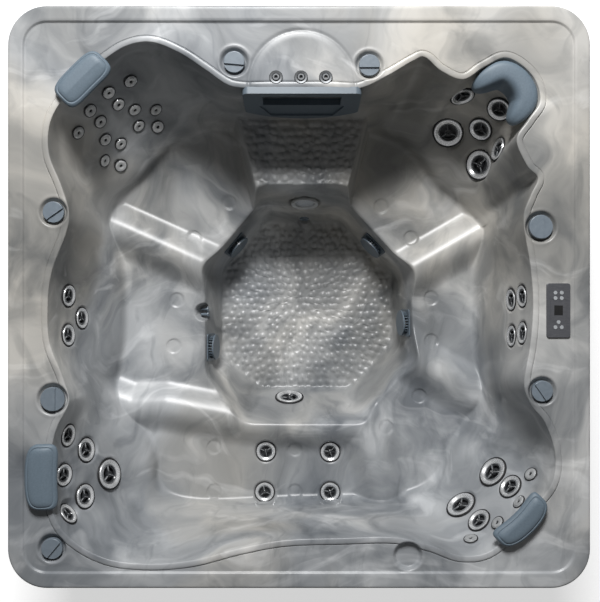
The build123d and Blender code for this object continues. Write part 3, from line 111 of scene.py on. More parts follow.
# Footwell corners, clockwise from its rear left: at the crest level, then at the floor
FOOTWELL_SHARES = (
    ((-0.150, 0.404), (-0.145, 0.324)),
    ((0.185, 0.404), (0.175, 0.324)),
    ((0.458, 0.105), (0.402, 0.085)),
    ((0.470, -0.262), (0.402, -0.200)),
    ((0.262, -0.500), (0.225, -0.393)),
    ((-0.215, -0.500), (-0.170, -0.393)),
    ((-0.385, -0.330), (-0.333, -0.250)),
    ((-0.385, 0.118), (-0.333, 0.110)),
)

# Entry step corners, clockwise from its rear left, at its top
STEP_SHARES = ((-0.262, 0.800), (0.285, 0.800), (0.170, 0.350), (-0.150, 0.350))

# Armrest ridges between the seats, each from the wall to the footwell
RIDGE_SHARES = (
    ((-0.880, 0.340), (-0.740, 0.283), (-0.300, 0.085)),
    ((0.880, 0.330), (0.745, 0.270), (0.380, 0.060)),
    ((0.900, -0.380), (0.700, -0.390), (0.490, -0.270), (0.380, -0.180)),
    ((-0.900, -0.350), (-0.670, -0.440), (-0.530, -0.436), (-0.270, -0.486),
     (0.000, -0.515), (0.250, -0.510), (0.300, -0.640), (0.350, -0.900)),
)

# Flat moulded discs on the seats
BLANK_RADIUS = 0.032
BLANK_DIP = 0.0045
BLANK_SHARES = (
    (-0.281, 0.381), (-0.421, 0.237), (-0.490, -0.012), (-0.502, -0.197),
    (0.329, 0.365), (0.449, 0.237), (0.530, -0.004), (0.530, -0.177),
    (0.482, -0.397), (0.349, -0.522), (-0.341, -0.602), (-0.341, -0.780),
    (-0.016, -0.610), (-0.016, -0.780),
)
BLANK_DISH_SHARE = (0.375, -0.890)
DOME_SHARE = (0.010, 0.734)
DOME_RADIUS = 0.205
DOME_RISE = 0.002
PEBBLE_SIZE = 0.033
PEBBLE_RISE = 0.0050

# A place over the seats that every wall fitting faces
WATER_MIDDLE = (0.0, 0.0, 0.75)


class Pattern(Enum):
    """How a finish varies over its surface."""

    MARBLE = "marble"
    MOULDED = "moulded"
    BRUSHED = "brushed"
    TIMBER = "timber"
    FOAM = "foam"
    CLEAR = "clear"


@dataclass(frozen=True)
class Layer:
    """One noise of the marbling: its stretch, its size and the colours that it runs through."""

    stretch: tuple
    scale: float
    detail: float
    stops: tuple


# The marbling: how far places are warped, how its layers lie and what each layer adds
MARBLE_TURN = 0.6
MARBLE_DISTORTION = 0.6
MARBLE_WARP = (0.9, 0.9, 0.9)
MARBLE_PALE = (0.62, 0.615, 0.60)
TINT = Layer((1.0, 0.5, 1.0), 1.1, 2.0, ((0.40, (0.96, 0.99, 1.03)), (0.62, (1.04, 1.0, 0.93))))
STREAKS = Layer((1.2, 6.5, 4.0), 1.6, 5.0, ((0.56, (0.0, 0.0, 0.0)), (0.74, (0.20, 0.20, 0.20))))
WISPS = Layer((5.0, 1.3, 3.0), 2.4, 6.0, ((0.30, (0.72, 0.73, 0.74)), (0.48, (1.0, 1.0, 1.0))))


@dataclass
class Graph:
    """A tree of shader nodes that is filled node by node."""

    tree: NodeTree

    def fill(self, node: Node, inputs: dict) -> None:
        """Set a node's inputs, or join them to other nodes.

        Args:
            node: The node.
            inputs: A value, or the socket that gives it, for each input.
        """
        for key, value in inputs.items():
            if isinstance(value, NodeSocket):
                self.tree.links.new(value, node.inputs[key])
            else:
                node.inputs[key].default_value = value

    def add(self, kind: str, inputs: dict, operation: str = "") -> Node:
        """Add a node.

        Args:
            kind: The node's type.
            inputs: A value, or the socket that gives it, for each input.
            operation: What it works out, where it can do several things.

        Returns:
            The node.
        """
        node = self.tree.nodes.new(kind)
        if operation:
            node.operation = operation
        self.fill(node, inputs)
        return node

    def ramp(self, value: NodeSocket, stops: tuple) -> NodeSocket:
        """Add a colour ramp.

        Args:
            value: The socket that drives it.
            stops: A place and a colour for each of its stops.

        Returns:
            The socket that carries the colour.
        """
        ramp = self.add("ShaderNodeValToRGB", {"Fac": value})
        elements = ramp.color_ramp.elements
        while len(elements) < len(stops):
            elements.new(0.5)
        for element, (position, color) in zip(elements, stops):
            element.position = position
            element.color = (*color, 1.0)
        return ramp.outputs["Color"]

    def layer(self, vector: NodeSocket, layer: Layer) -> NodeSocket:
        """Add one layer of the marbling.

        Args:
            vector: The socket that carries the place on the object.
            layer: The layer.

        Returns:
            The socket that carries its colour.
        """
        turned = self.add("ShaderNodeMapping", {"Vector": vector, "Scale": layer.stretch,
                                                "Rotation": (0.0, 0.0, MARBLE_TURN)})
        noise = self.add("ShaderNodeTexNoise", {
            "Vector": turned.outputs["Vector"], "Scale": layer.scale, "Detail": layer.detail,
            "Distortion": MARBLE_DISTORTION})
        return self.ramp(noise.outputs["Fac"], layer.stops)

    def mix(self, mode: str, first: NodeSocket, second: NodeSocket) -> NodeSocket:
        """Blend two colours.

        Args:
            mode: The blend mode.
            first: The socket of the colour below.
            second: The socket of the colour above.

        Returns:
            The socket that carries the result.
        """
        mix = self.add("ShaderNodeMix", {})
        mix.data_type = "RGBA"
        mix.blend_type = mode
        self.fill(mix, {0: 1.0, 6: first, 7: second})
        return mix.outputs[2]


# How far a pattern's grain is squeezed along each axis
SQUEEZES = {Pattern.BRUSHED: (1.0, 18.0, 18.0), Pattern.TIMBER: (2.0, 2.0, 30.0)}


@dataclass(frozen=True)
class Finish:
    """One material: its colours, gloss and pattern."""

    name: str
    pattern: Pattern
    color: tuple
    second: tuple
    roughness: float
    metallic: float = 0.0
    coat: float = 0.0
    scale: float = 60.0
    bump: float = 0.1
    coat_roughness: float = 0.16
    grain_stops: tuple = (0.32, 0.68)
    gloss_spread: tuple = (-0.06, 0.08)
    fine_share: float = 9.0
    bump_reach: float = 0.001
    clearness: float = 0.35

    def material(self) -> Material:
        """Build the node material.

        Returns:
            The finished material.
        """
        mat = bpy.data.materials.new(self.name)
        mat.use_nodes = True
        graph = Graph(mat.node_tree)
        shader = mat.node_tree.nodes["Principled BSDF"]
        graph.fill(shader, {"Metallic": self.metallic, "Coat Weight": self.coat,
                            "Coat Roughness": self.coat_roughness})
        coords = graph.add("ShaderNodeTexCoord", {})
        squeeze = SQUEEZES.get(self.pattern, (1.0, 1.0, 1.0))
        mapping = graph.add("ShaderNodeMapping", {"Vector": coords.outputs["Object"], "Scale": squeeze})
        place = mapping.outputs["Vector"]
        if self.pattern is Pattern.MARBLE:
            graph.fill(shader, {"Base Color": self.marble(graph, place), "Roughness": self.roughness})
            return mat
        grain = graph.add("ShaderNodeTexNoise", {"Vector": place, "Scale": self.scale, "Detail": 6.0})
        color = graph.ramp(grain.outputs["Fac"], tuple(zip(self.grain_stops, (self.second, self.color))))
        gloss = graph.add("ShaderNodeMapRange", {
            "Value": grain.outputs["Fac"], "To Min": max(self.roughness + self.gloss_spread[0], 0.02),
            "To Max": min(self.roughness + self.gloss_spread[1], 1.0)})
        fine = graph.add("ShaderNodeTexNoise", {"Vector": place, "Scale": self.scale * self.fine_share,
                                                "Detail": 3.0})
        bump = graph.add("ShaderNodeBump", {"Height": fine.outputs["Fac"], "Strength": self.bump,
                                            "Distance": self.bump_reach})
        graph.fill(shader, {"Base Color": color, "Roughness": gloss.outputs["Result"],
                            "Normal": bump.outputs["Normal"]})
        if self.pattern is Pattern.CLEAR:
            graph.fill(shader, {"Transmission Weight": self.clearness})
        return mat

    def marble(self, graph: Graph, place: NodeSocket) -> NodeSocket:
        """Build swirled acrylic: dark and pale clouds under drawn-out white streaks.

        Args:
            graph: The material's nodes.
            place: The socket that carries the place on the object.

        Returns:
            The socket that carries the colour.
        """
        warp = graph.add("ShaderNodeTexNoise", {"Vector": place, "Scale": 1.3, "Detail": 3.0})
        shift = graph.add("ShaderNodeVectorMath", {0: warp.outputs["Color"], 1: MARBLE_WARP, 2: place},
                          "MULTIPLY_ADD")
        swirl = shift.outputs["Vector"]
        clouds = Layer((1.6, 1.6, 1.6), 1.5, 8.0,
                       ((0.34, self.second), (0.50, self.color), (0.66, MARBLE_PALE)))
        tinted = graph.mix("MULTIPLY", graph.layer(swirl, clouds), graph.layer(swirl, TINT))
        streaked = graph.mix("ADD", tinted, graph.layer(swirl, STREAKS))
        return graph.mix("MULTIPLY", streaked, graph.layer(swirl, WISPS))


ACRYLIC = Finish("marbled_acrylic", Pattern.MARBLE, (0.37, 0.375, 0.377), (0.19, 0.20, 0.21), 0.34)
CABINET = Finish("cabinet_composite", Pattern.TIMBER, (0.036, 0.038, 0.042), (0.022, 0.023, 0.026), 0.55,
                 scale=9.0, bump=0.35)
CORNER = Finish("cabinet_corner", Pattern.MOULDED, (0.024, 0.026, 0.029), (0.018, 0.019, 0.022), 0.5)
PAN = Finish("base_pan", Pattern.MOULDED, (0.015, 0.015, 0.016), (0.010, 0.010, 0.011), 0.6)
TIMBER = Finish("sawn_timber", Pattern.TIMBER, (0.50, 0.36, 0.21), (0.36, 0.24, 0.13), 0.75, scale=8.0,
                bump=0.5)
FOAM = Finish("pillow_foam", Pattern.FOAM, (0.165, 0.215, 0.262), (0.140, 0.186, 0.228), 0.50, scale=140.0,
              bump=0.22)
SLATE = Finish("slate_plastic", Pattern.MOULDED, (0.150, 0.188, 0.225), (0.128, 0.162, 0.196), 0.38,
               coat=0.12)
KNOB = Finish("knob_plastic", Pattern.MOULDED, (0.205, 0.245, 0.285), (0.175, 0.212, 0.250), 0.36,
              coat=0.15)
RING = Finish("jet_ring_steel", Pattern.BRUSHED, (0.90, 0.91, 0.92), (0.76, 0.77, 0.78), 0.26,
              metallic=0.65, bump=0.05)
# One cluster disc plastic in two copies: the rear copy is lightened as painted light against the shade of
# the rear corner, and the front copy is darkened as painted shade against the key lamp
REAR_DISC_PAINTED_LIGHT = Finish("rear_disc_painted_light", Pattern.MOULDED, (0.93, 0.93, 0.93), (0.86, 0.87, 0.87), 0.25, coat=0.4)
FRONT_DISC_PAINTED_SHADE = Finish("front_disc_painted_shade", Pattern.MOULDED, (0.40, 0.41, 0.415), (0.32, 0.33, 0.335), 0.32)
NOZZLE = Finish("nozzle_chrome", Pattern.BRUSHED, (0.16, 0.165, 0.17), (0.10, 0.105, 0.11), 0.42,
                metallic=0.9, bump=0.03)
# Painted shade: a near-black band put round every jet to stand in for the shade in the recess round it
PAINTED_RECESS_SHADE = Finish("jet_recess_painted_shade", Pattern.MOULDED, (0.012, 0.012, 0.013), (0.008, 0.008, 0.009), 0.6)
SPOKE = Finish("jet_spoke_plastic", Pattern.MOULDED, (0.26, 0.27, 0.28), (0.20, 0.21, 0.22), 0.35)
FACE = Finish("jet_face_plastic", Pattern.MOULDED, (0.030, 0.033, 0.037), (0.020, 0.022, 0.025), 0.25,
              coat=0.4)
FITTING = Finish("inner_plastic", Pattern.MOULDED, (0.62, 0.63, 0.63), (0.55, 0.56, 0.56), 0.45)
PLATE = Finish("control_plate", Pattern.BRUSHED, (0.15, 0.152, 0.165), (0.10, 0.103, 0.115), 0.36,
               metallic=0.5)
# Painted shade: the jet bodies are light plastic, coloured near black to stand in for the shade inside the
# jets
JET_BODY_PAINTED_SHADE = Finish("jet_body_painted_shade", Pattern.MOULDED, (0.045, 0.048, 0.052), (0.035, 0.037, 0.041), 0.5)
WELL = Finish("filter_well", Pattern.MOULDED, (0.030, 0.032, 0.036), (0.022, 0.024, 0.027), 0.5)
SCREEN = Finish("control_screen", Pattern.MOULDED, (0.0015, 0.0015, 0.0018), (0.001, 0.001, 0.0012), 0.45)
BUTTON = Finish("control_button", Pattern.MOULDED, (0.46, 0.48, 0.50), (0.40, 0.42, 0.44), 0.42)
LENS = Finish("light_lens", Pattern.CLEAR, (0.80, 0.84, 0.88), (0.72, 0.76, 0.80), 0.12)
PLEAT = Finish("filter_paper", Pattern.FOAM, (0.80, 0.81, 0.80), (0.72, 0.73, 0.72), 0.85)
MOTOR = Finish("motor_paint", Pattern.MOULDED, (0.020, 0.021, 0.023), (0.013, 0.013, 0.015), 0.42)
STEEL = Finish("heater_steel", Pattern.BRUSHED, (0.58, 0.59, 0.60), (0.44, 0.45, 0.46), 0.28, metallic=1.0)
BOX = Finish("box_paint", Pattern.MOULDED, (0.20, 0.21, 0.22), (0.16, 0.17, 0.18), 0.45)

# The CAD nodes that wear each finish, by how their names start
NODE_FINISHES = {
    PAN: ("base_pan",),
    TIMBER: ("cabinet_frame", "footwell_sleepers"),
    CORNER: ("cabinet_corners",),
    CABINET: ("panel_front", "panel_rear", "panel_left", "panel_right"),
    STEEL: ("panel_screws", "heater"),
    SLATE: ("filter_housing", "weir_door", "suction_covers", "return_fittings"),
    WELL: ("filter_canister",),
    PLEAT: ("filter_cartridge",),
    PLATE: ("control_housing",),
    SCREEN: ("control_display",),
    BUTTON: ("panel_button",),
    KNOB: ("air_knob", "diverter_knob"),
    RING: ("jet_rings",),
    FACE: ("jet_face",),
    # The jet bodies wear painted shade, near black for the shade inside the jets
    JET_BODY_PAINTED_SHADE: ("jet_bodies",),
    FITTING: ("knob_valve_bodies", "suction_bodies", "light_housing", "water_"),
    LENS: ("light_lens",),
    NOZZLE: ("fountain_nozzles",),
    MOTOR: ("pump_", "drain_valve_", "power_inlet"),
    BOX: ("control_box",),
}


def plan(share: tuple) -> np.ndarray:
    """Turn shares of the half width and length into metres in the plan."""
    return np.array(share, float) * HALF


def ease(value: np.ndarray, start: float, end: float) -> np.ndarray:
    """Rise smoothly from 0 at start to 1 at end."""
    share = np.clip((value - start) / (end - start), 0.0, 1.0)
    return share * share * (3.0 - 2.0 * share)


def at_height(places: np.ndarray, height: float | np.ndarray) -> np.ndarray:
    """Lift places in the plan to one height, or each to its own."""
    return np.column_stack([places, np.broadcast_to(height, len(places))])


def closed_curve(points: np.ndarray, samples: int) -> np.ndarray:
    """Run a smooth closed curve through points.

    Args:
        points: The points, one a row.
        samples: How many places are taken between two points.

    Returns:
        The curve's places, one a row.
    """
    steps = np.linspace(0.0, 1.0, samples, endpoint=False)[:, None]
    before, after, beyond = (np.roll(points, shift, axis=0) for shift in (1, -1, -2))
    runs = []
    for p0, p1, p2, p3 in zip(before, points, after, beyond):
        runs.append(0.5 * (2 * p1 + (p2 - p0) * steps + (2 * p0 - 5 * p1 + 4 * p2 - p3) * steps**2
                           + (3 * p1 - p0 - 3 * p2 + p3) * steps**3))
    return np.vstack(runs)


def rounded(corners: np.ndarray, radius: float, samples: int = 10) -> np.ndarray:
    """Round the corners of a closed polygon.

    Args:
        corners: The polygon's corners.
        radius: The rounding's radius.
        samples: How many places each rounding has.

    Returns:
        The rounded outline's places.
    """
    places = []
    for i, corner in enumerate(corners):
        back = corners[i - 1] - corner
        ahead = corners[(i + 1) % len(corners)] - corner
        back, ahead = back / np.linalg.norm(back), ahead / np.linalg.norm(ahead)
        half_angle = math.acos(float(np.clip(back @ ahead, -1, 1))) / 2
        reach = radius / math.tan(half_angle)
        start, end = corner + back * reach, corner + ahead * reach
        for t in np.linspace(0, 1, samples):
            places.append((1 - t) ** 2 * start + 2 * t * (1 - t) * corner + t**2 * end)
    return np.array(places)


def polar_radius(outline: np.ndarray, angles: np.ndarray, step: float = 0.004) -> np.ndarray:
    """Measure a closed outline from the tub's middle.

    Args:
        outline: The outline's corners.
        angles: The directions to measure in.
        step: How closely the outline is sampled.

    Returns:
        Its distance in each direction.
    """
    runs = []
    for start, end in zip(outline, np.roll(outline, -1, axis=0)):
        count = int(np.linalg.norm(end - start) / step) + 1
        runs.append(start + (end - start) * np.linspace(0, 1, count, endpoint=False)[:, None])
    dense = np.vstack(runs)
    turns = np.arctan2(dense[:, 1], dense[:, 0])
    order = np.argsort(turns)
    return np.interp(angles, turns[order], np.hypot(dense[:, 0], dense[:, 1])[order], period=2 * math.pi)


def square_outline(half: float, radius: float, samples: int = 24) -> np.ndarray:
    """Shape a rounded square.

    Args:
        half: Half of its width.
        radius: Its corners' radius.
        samples: How many places each corner has.

    Returns:
        Its outline's places.
    """
    places = []
    for quarter in range(4):
        middle = quarter * math.pi / 2 + math.pi / 4
        corner = np.array([math.copysign(1, math.cos(middle)), math.copysign(1, math.sin(middle))])
        for t in np.linspace(-math.pi / 4, math.pi / 4, samples):
            turn = np.array([math.cos(middle + t), math.sin(middle + t)])
            places.append(corner * (half - radius) + turn * radius)
    return np.array(places)


def grid_faces(rows: int, around: int) -> np.ndarray:
    """Join closed rows of places with quads.

    Args:
        rows: How many rows there are.
        around: How many places each row has.

    Returns:
        The quads, one a row.
    """
    here = np.arange(rows * around).reshape(rows, around)
    beside = np.roll(here, -1, axis=1)
    return np.stack([here[:-1], beside[:-1], beside[1:], here[1:]], axis=-1).reshape(-1, 4)


def make_mesh(name: str, vertices: np.ndarray, faces: np.ndarray) -> Object:
    """Make a smooth-shaded object.

    Args:
        name: Its name.
        vertices: Its vertices, one a row.
        faces: Its quads, one a row.

    Returns:
        The object.
    """
    mesh = bpy.data.meshes.new(name)
    mesh.from_pydata(vertices.tolist(), [], faces.tolist())
    mesh.shade_smooth()
    obj = bpy.data.objects.new(name, mesh)
    bpy.context.scene.collection.objects.link(obj)
    return obj


def close_and_turn(piece: Object, close: bool = True) -> None:
    """Close a piece's open ends and point its faces outwards.

    Args:
        piece: The piece.
        close: False where the open ends stay open.
    """
    shape = bmesh.new()
    shape.from_mesh(piece.data)
    if close:
        bmesh.ops.holes_fill(shape, edges=[e for e in shape.edges if e.is_boundary], sides=0)
    bmesh.ops.recalc_face_normals(shape, faces=shape.faces)
    for face in shape.faces:
        face.smooth = True
    shape.to_mesh(piece.data)
    shape.free()


def dress(piece: Object, finish: Material, body: str) -> None:
    """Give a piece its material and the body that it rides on.

    Args:
        piece: The piece.
        finish: Its material.
        body: The body's name.
    """
    piece.data.materials.append(finish)
    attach(piece, body)
    log.info("%s rides on %s with %d faces", piece.name, body, len(piece.data.polygons))


def pad(node: str, rings: np.ndarray, finish: Material) -> Object:
    """Make a pillow's padded piece and stand it in for its CAD node.

    Args:
        node: The CAD node's name.
        rings: The pillow's rings.
        finish: Its material.

    Returns:
        The piece.
    """
    piece = make_mesh(f"padded_{node}", rings.reshape(-1, 3), grid_faces(*rings.shape[:2]))
    close_and_turn(piece)
    dress(piece, finish, "tub")
    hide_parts(node)
    return piece


@dataclass
class Spot:
    """Where a round fitting sits: its middle, the way it faces and its radius."""

    centre: np.ndarray
    facing: np.ndarray
    radius: float

    def frame(self) -> tuple:
        """Find two directions across the fitting.

        Returns:
            The level one and the one square to it.
        """
        across = np.cross((0.0, 0.0, 1.0), self.facing)
        across = across / np.linalg.norm(across)
        return across, np.cross(self.facing, across)


def linked_places(shape: bmesh.types.BMesh) -> list:
    """Sort a mesh's vertices by the solid that they belong to.

    Args:
        shape: The mesh.

    Returns:
        One array of places for each solid.
    """
    seen, found = set(), []
    for vertex in shape.verts:
        if vertex in seen:
            continue
        stack, group = [vertex], []
        seen.add(vertex)
        while stack:
            here = stack.pop()
            group.append(here.co[:])
            for edge in here.link_edges:
                there = edge.other_vert(here)
                if there not in seen:
                    seen.add(there)
                    stack.append(there)
        found.append(np.array(group))
    return found


def fitting_spots(node: str, radius: float = 0.0, weld: float = 1e-5) -> list:
    """Find each separate solid of a CAD node of flat, round fittings.

    Args:
        node: The node's name.
        radius: A radius that overrides the measured one, where it isn't 0.
        weld: How close two vertices are to count as one.

    Returns:
        One Spot for each solid, at the base of its ring.
    """
    copy = bmesh.new()
    copy.from_mesh(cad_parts[node].data)
    bmesh.ops.remove_doubles(copy, verts=copy.verts, dist=weld)
    found = []
    for places in linked_places(copy):
        mean = places.mean(0)
        facing = np.linalg.svd(places - mean, full_matrices=False)[2][2]
        if facing @ (np.array(WATER_MIDDLE) - mean) < 0:
            facing = -facing
        along = (places - mean) @ facing
        across = np.linalg.norm((places - mean) - along[:, None] * facing, axis=1)
        found.append(Spot(mean + facing * along.min(), facing, radius or float(across.max())))
    copy.free()
    return found


@dataclass
class Footwell:
    """The footwell's outline at every height, in fixed directions from the tub's middle."""

    angles: np.ndarray
    low: float = FLOOR_HEIGHT - 0.01
    high: float = STEP_HEIGHT + 0.03
    count: int = 40

    def __post_init__(self) -> None:
        """Work out the outline's radius at each level in each direction."""
        self.levels = np.linspace(self.low, self.high, self.count)
        self.spin = np.stack([np.cos(self.angles), np.sin(self.angles)], axis=1)
        rows = []
        for level in self.levels:
            share = (CREST_HEIGHT - level) / (CREST_HEIGHT - FLOOR_HEIGHT)
            corners = np.array([(1 - share) * np.array(up) + share * np.array(low)
                                for up, low in FOOTWELL_SHARES]) * HALF
            rows.append(polar_radius(rounded(corners, FOOTWELL_CORNER), self.angles))
        self.table = np.array(rows)

    def outline(self, heights: np.ndarray) -> np.ndarray:
        """Give the outline in the plan, each place at its own height.

        Args:
            heights: The height in each direction.

        Returns:
            The outline's places.
        """
        spot = (heights - self.levels[0]) / (self.levels[1] - self.levels[0])
        row = np.clip(spot.astype(int), 0, self.count - 2)
        share = np.clip(spot - row, 0, 1)
        column = np.arange(len(self.angles))
        radius = self.table[row, column] * (1 - share) + self.table[row + 1, column] * share
        return self.spin * radius[:, None]


@dataclass
class Relief:
    """What is moulded into the shell's skin: ridges, dishes, the round pad and the pebbles.

    An ease says where a form fades in and out, from the edge or the level that it belongs to.
    """

    far: float = 9.0
    ridge_reach: float = 0.125
    step_ease: tuple = (-0.040, 0.006)
    blank_ease: tuple = (-0.004, 0.003)
    blank_level: float = 0.150
    deck_span: tuple = (-0.004, -0.001)
    dome_edge: float = 0.030
    # Depth, then half width
    dome_groove: tuple = (0.0035, 0.0042)
    dish_ease: tuple = (-0.010, 0.005)
    # Rise, distance from the dish's edge, then half width
    dish_roll: tuple = (0.0015, 0.008, 0.006)
    blank_dish_radius: float = 0.0525
    floor_ease: tuple = (0.004, 0.020)
    step_top_ease: tuple = (-0.004, -0.0005)
    step_level_ease: tuple = (0.004, 0.012)
    pebble_jitter: float = 0.62
    # The smallest, then the spread above it
    pebble_sizes: tuple = (0.82, 0.36)
    pebble_reach: float = 0.50
    pebble_sink: float = 0.3
    pebble_least: float = 0.01
    # Two factors and a multiplier that scatter the pebbles, once for each hash
    pebble_seeds: tuple = ((12.9898, 78.233, 43758.5453), (39.3461, 11.135, 24634.6345))

    def ridges(self, places: np.ndarray) -> np.ndarray:
        """Give the height of the seats with the armrest ridges between them.

        Args:
            places: Places in the plan.

        Returns:
            The height at each place.
        """
        height = np.full(len(places), SEAT_HEIGHT)
        for shares in RIDGE_SHARES:
            line = plan(shares)
            nearest = np.full(len(places), self.far)
            for start, end in zip(line, line[1:]):
                run = end - start
                t = np.clip(((places - start) @ run) / (run @ run), 0, 1)
                nearest = np.minimum(nearest, np.linalg.norm(places - (start + t[:, None] * run), axis=1))
            swell = np.maximum(1 - (nearest / self.ridge_reach) ** 2, 0.0) ** 2
            height = np.maximum(height, SEAT_HEIGHT + (CREST_HEIGHT - SEAT_HEIGHT) * swell)
        return height

    def step(self, places: np.ndarray) -> np.ndarray:
        """Give the height of the seats with the entry step.

        Args:
            places: Places in the plan.

        Returns:
            The height at each place.
        """
        corners = plan(STEP_SHARES)
        inside = np.full(len(places), self.far)
        for i, start in enumerate(corners):
            run = corners[(i + 1) % len(corners)] - start
            outward = np.array([-run[1], run[0]]) / np.linalg.norm(run)
            inside = np.minimum(inside, -((places - start) @ outward))
        return SEAT_HEIGHT + (STEP_HEIGHT - SEAT_HEIGHT) * ease(inside, *self.step_ease)

    def seats(self, places: np.ndarray) -> np.ndarray:
        """Give the height of the seats with their ridges and the step."""
        return np.maximum(self.ridges(places), self.step(places))

    def sink_blanks(self, flat: np.ndarray) -> None:
        """Sink the flat round dishes into the seats.

        Args:
            flat: The skin's places, one a row, which are moved.
        """
        for share in BLANK_SHARES:
            away = np.linalg.norm(flat[:, :2] - plan(share), axis=1) - BLANK_RADIUS
            near = np.abs(flat[:, 2] - SEAT_HEIGHT) < self.blank_level
            flat[:, 2] -= near * BLANK_DIP * (1 - ease(away, *self.blank_ease))

    def dishes(self) -> list:
        """Find the round dishes in the deck.

        Returns:
            The middle and the radius of each.
        """
        found = [(plan(BLANK_DISH_SHARE), self.blank_dish_radius)]
        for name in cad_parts:
            if "_knob_" in name:
                low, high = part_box(name)
                found.append((np.array(((low + high) / 2)[:2]), (high.x - low.x) / 2 + DISH_MARGIN))
        return found

    def shape_deck(self, deck: np.ndarray, bead_rings: int) -> None:
        """Sink the knob dishes into the deck and outline the round pad at the filter.

        Args:
            deck: The deck's rings, which are moved.
            bead_rings: How many of them, at the end, make the bead and its groove.
        """
        flat = deck.reshape(-1, 3)
        bead = np.zeros(deck.shape[:2], dtype=bool)
        bead[-bead_rings:] = True
        bead = bead.ravel()
        low, high = self.deck_span
        on_deck = (flat[:, 2] > DECK_HEIGHT + low) & (flat[:, 2] < RIM_HEIGHT + high)
        away = np.linalg.norm(flat[:, :2] - plan(DOME_SHARE), axis=1) - DOME_RADIUS
        deep, wide = self.dome_groove
        flat[:, 2] += on_deck * DOME_RISE * (1 - ease(away, -self.dome_edge, 0.0))
        flat[:, 2] -= on_deck * deep * np.exp(-((away / wide) ** 2))
        rise, apart, wide = self.dish_roll
        for middle, radius in self.dishes():
            away = np.linalg.norm(flat[:, :2] - middle, axis=1) - radius
            sunk = 1 - ease(away, *self.dish_ease)
            flat[:, 2] -= bead * (flat[:, 2] - DECK_HEIGHT) * sunk
            flat[:, 2] -= on_deck * DISH_DEPTH * sunk
            flat[:, 2] += on_deck * rise * np.exp(-(((away - apart) / wide) ** 2))

    def pebble(self, flat: np.ndarray) -> None:
        """Cover the footwell's floor and the entry step with moulded pebbles.

        Args:
            flat: The skin's places, one a row, which are moved.
        """
        floor = 1 - ease(flat[:, 2] - FLOOR_HEIGHT, *self.floor_ease)
        step = ease(self.step(flat[:, :2]) - STEP_HEIGHT, *self.step_top_ease)
        step = step * (1 - ease(np.abs(flat[:, 2] - STEP_HEIGHT), *self.step_level_ease))
        amount = np.maximum(floor, step)
        chosen = np.nonzero(amount > self.pebble_least)[0]
        grid = flat[chosen, :2] / PEBBLE_SIZE
        grid[:, 0] += 0.5 * (np.floor(grid[:, 1]) % 2)
        cells = np.floor(grid).astype(int)
        reach = np.full(len(grid), self.far)
        smallest, spread = self.pebble_sizes
        for dx in (-1, 0, 1):
            for dy in (-1, 0, 1):
                there = cells + (dx, dy)
                spin, roll = (np.sin(there @ np.array([x, y])) * z for x, y, z in self.pebble_seeds)
                jitter = self.pebble_jitter * np.stack([spin % 1 - 0.5, roll % 1 - 0.5], axis=1)
                size = smallest + spread * ((spin + roll) % 1)
                away = np.linalg.norm(grid - there - 0.5 - jitter, axis=1) / size
                reach = np.minimum(reach, away)
        dome = np.maximum(1 - (reach / self.pebble_reach) ** 2, 0.0)
        flat[chosen, 2] += amount[chosen] * PEBBLE_RISE * (dome - self.pebble_sink)


@dataclass
class Room:
    """The room that the skin leaves for the jets, the wall fittings and the filter housing."""

    reach: float = 0.012
    depth: float = 0.060
    gap: float = 0.0006
    bore_depth: float = 0.040
    bore_shares: tuple = (0.70, 0.93)
    hold_ease: tuple = (0.001, 0.011)
    suction_radius: float = 0.070
    back: float = 0.8042
    lean: float = 0.0275
    behind: float = 0.004
    front: float = 0.60
    half: float = 0.232
    bow: float = 0.085
    bow_half: float = 0.23
    mouth_half: float = 0.146
    mouth_span: tuple = (0.780, 0.866)
    mouth_back: float = 0.90

    def make(self, flat: np.ndarray) -> None:
        """Fit the skin to what sits on it.

        Args:
            flat: The skin's places, one a row, which are moved.
        """
        for spot in fitting_spots("jet_rings"):
            self.seat(flat, spot, hollow=True)
        for spot in (fitting_spots("suction_covers", self.suction_radius) + fitting_spots("light_housing")
                     + fitting_spots("return_fittings")):
            self.seat(flat, spot, hollow=False)
        self.clear_filter(flat)

    def seat(self, flat: np.ndarray, spot: Spot, hollow: bool) -> None:
        """Press the skin flat against the back of one fitting.

        Args:
            flat: The skin's places, which are moved.
            spot: Where the fitting sits.
            hollow: True where the skin also makes room for a bore behind it.
        """
        away = flat - spot.centre
        along = away @ spot.facing
        across = np.linalg.norm(away - along[:, None] * spot.facing, axis=1)
        near = (across < spot.radius + self.reach) & (np.abs(along) < self.depth)
        target = np.full(len(flat), -self.gap)
        if hollow:
            inner, outer = self.bore_shares
            target = target - self.bore_depth * (1 - ease(across, spot.radius * inner, spot.radius * outer))
        hold = 1 - ease(across - spot.radius, *self.hold_ease)
        flat += (near * hold * (target - along))[:, None] * spot.facing

    def clear_filter(self, flat: np.ndarray) -> None:
        """Keep the skin behind the filter housing, and open it behind the mouth.

        Args:
            flat: The skin's places, which are moved.
        """
        low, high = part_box("filter_housing")
        share = np.clip((high.z - flat[:, 2]) / (high.z - low.z), 0, 1)
        side = np.abs(flat[:, 0] - (low.x + high.x) / 2)
        back = self.back - share * self.lean + self.behind
        rear = flat[:, 1] > self.front
        inside = (side < self.half) & rear & (flat[:, 2] > low.z - self.behind) & (flat[:, 1] < back)
        inside &= flat[:, 2] > low.z + self.bow * ease(side, 0.0, self.bow_half)
        flat[inside, 1] = back[inside]
        bottom, top = self.mouth_span
        mouth = (side < self.mouth_half) & rear & (flat[:, 2] > bottom) & (flat[:, 2] < top)
        flat[mouth, 1] = np.maximum(flat[mouth, 1], self.mouth_back)


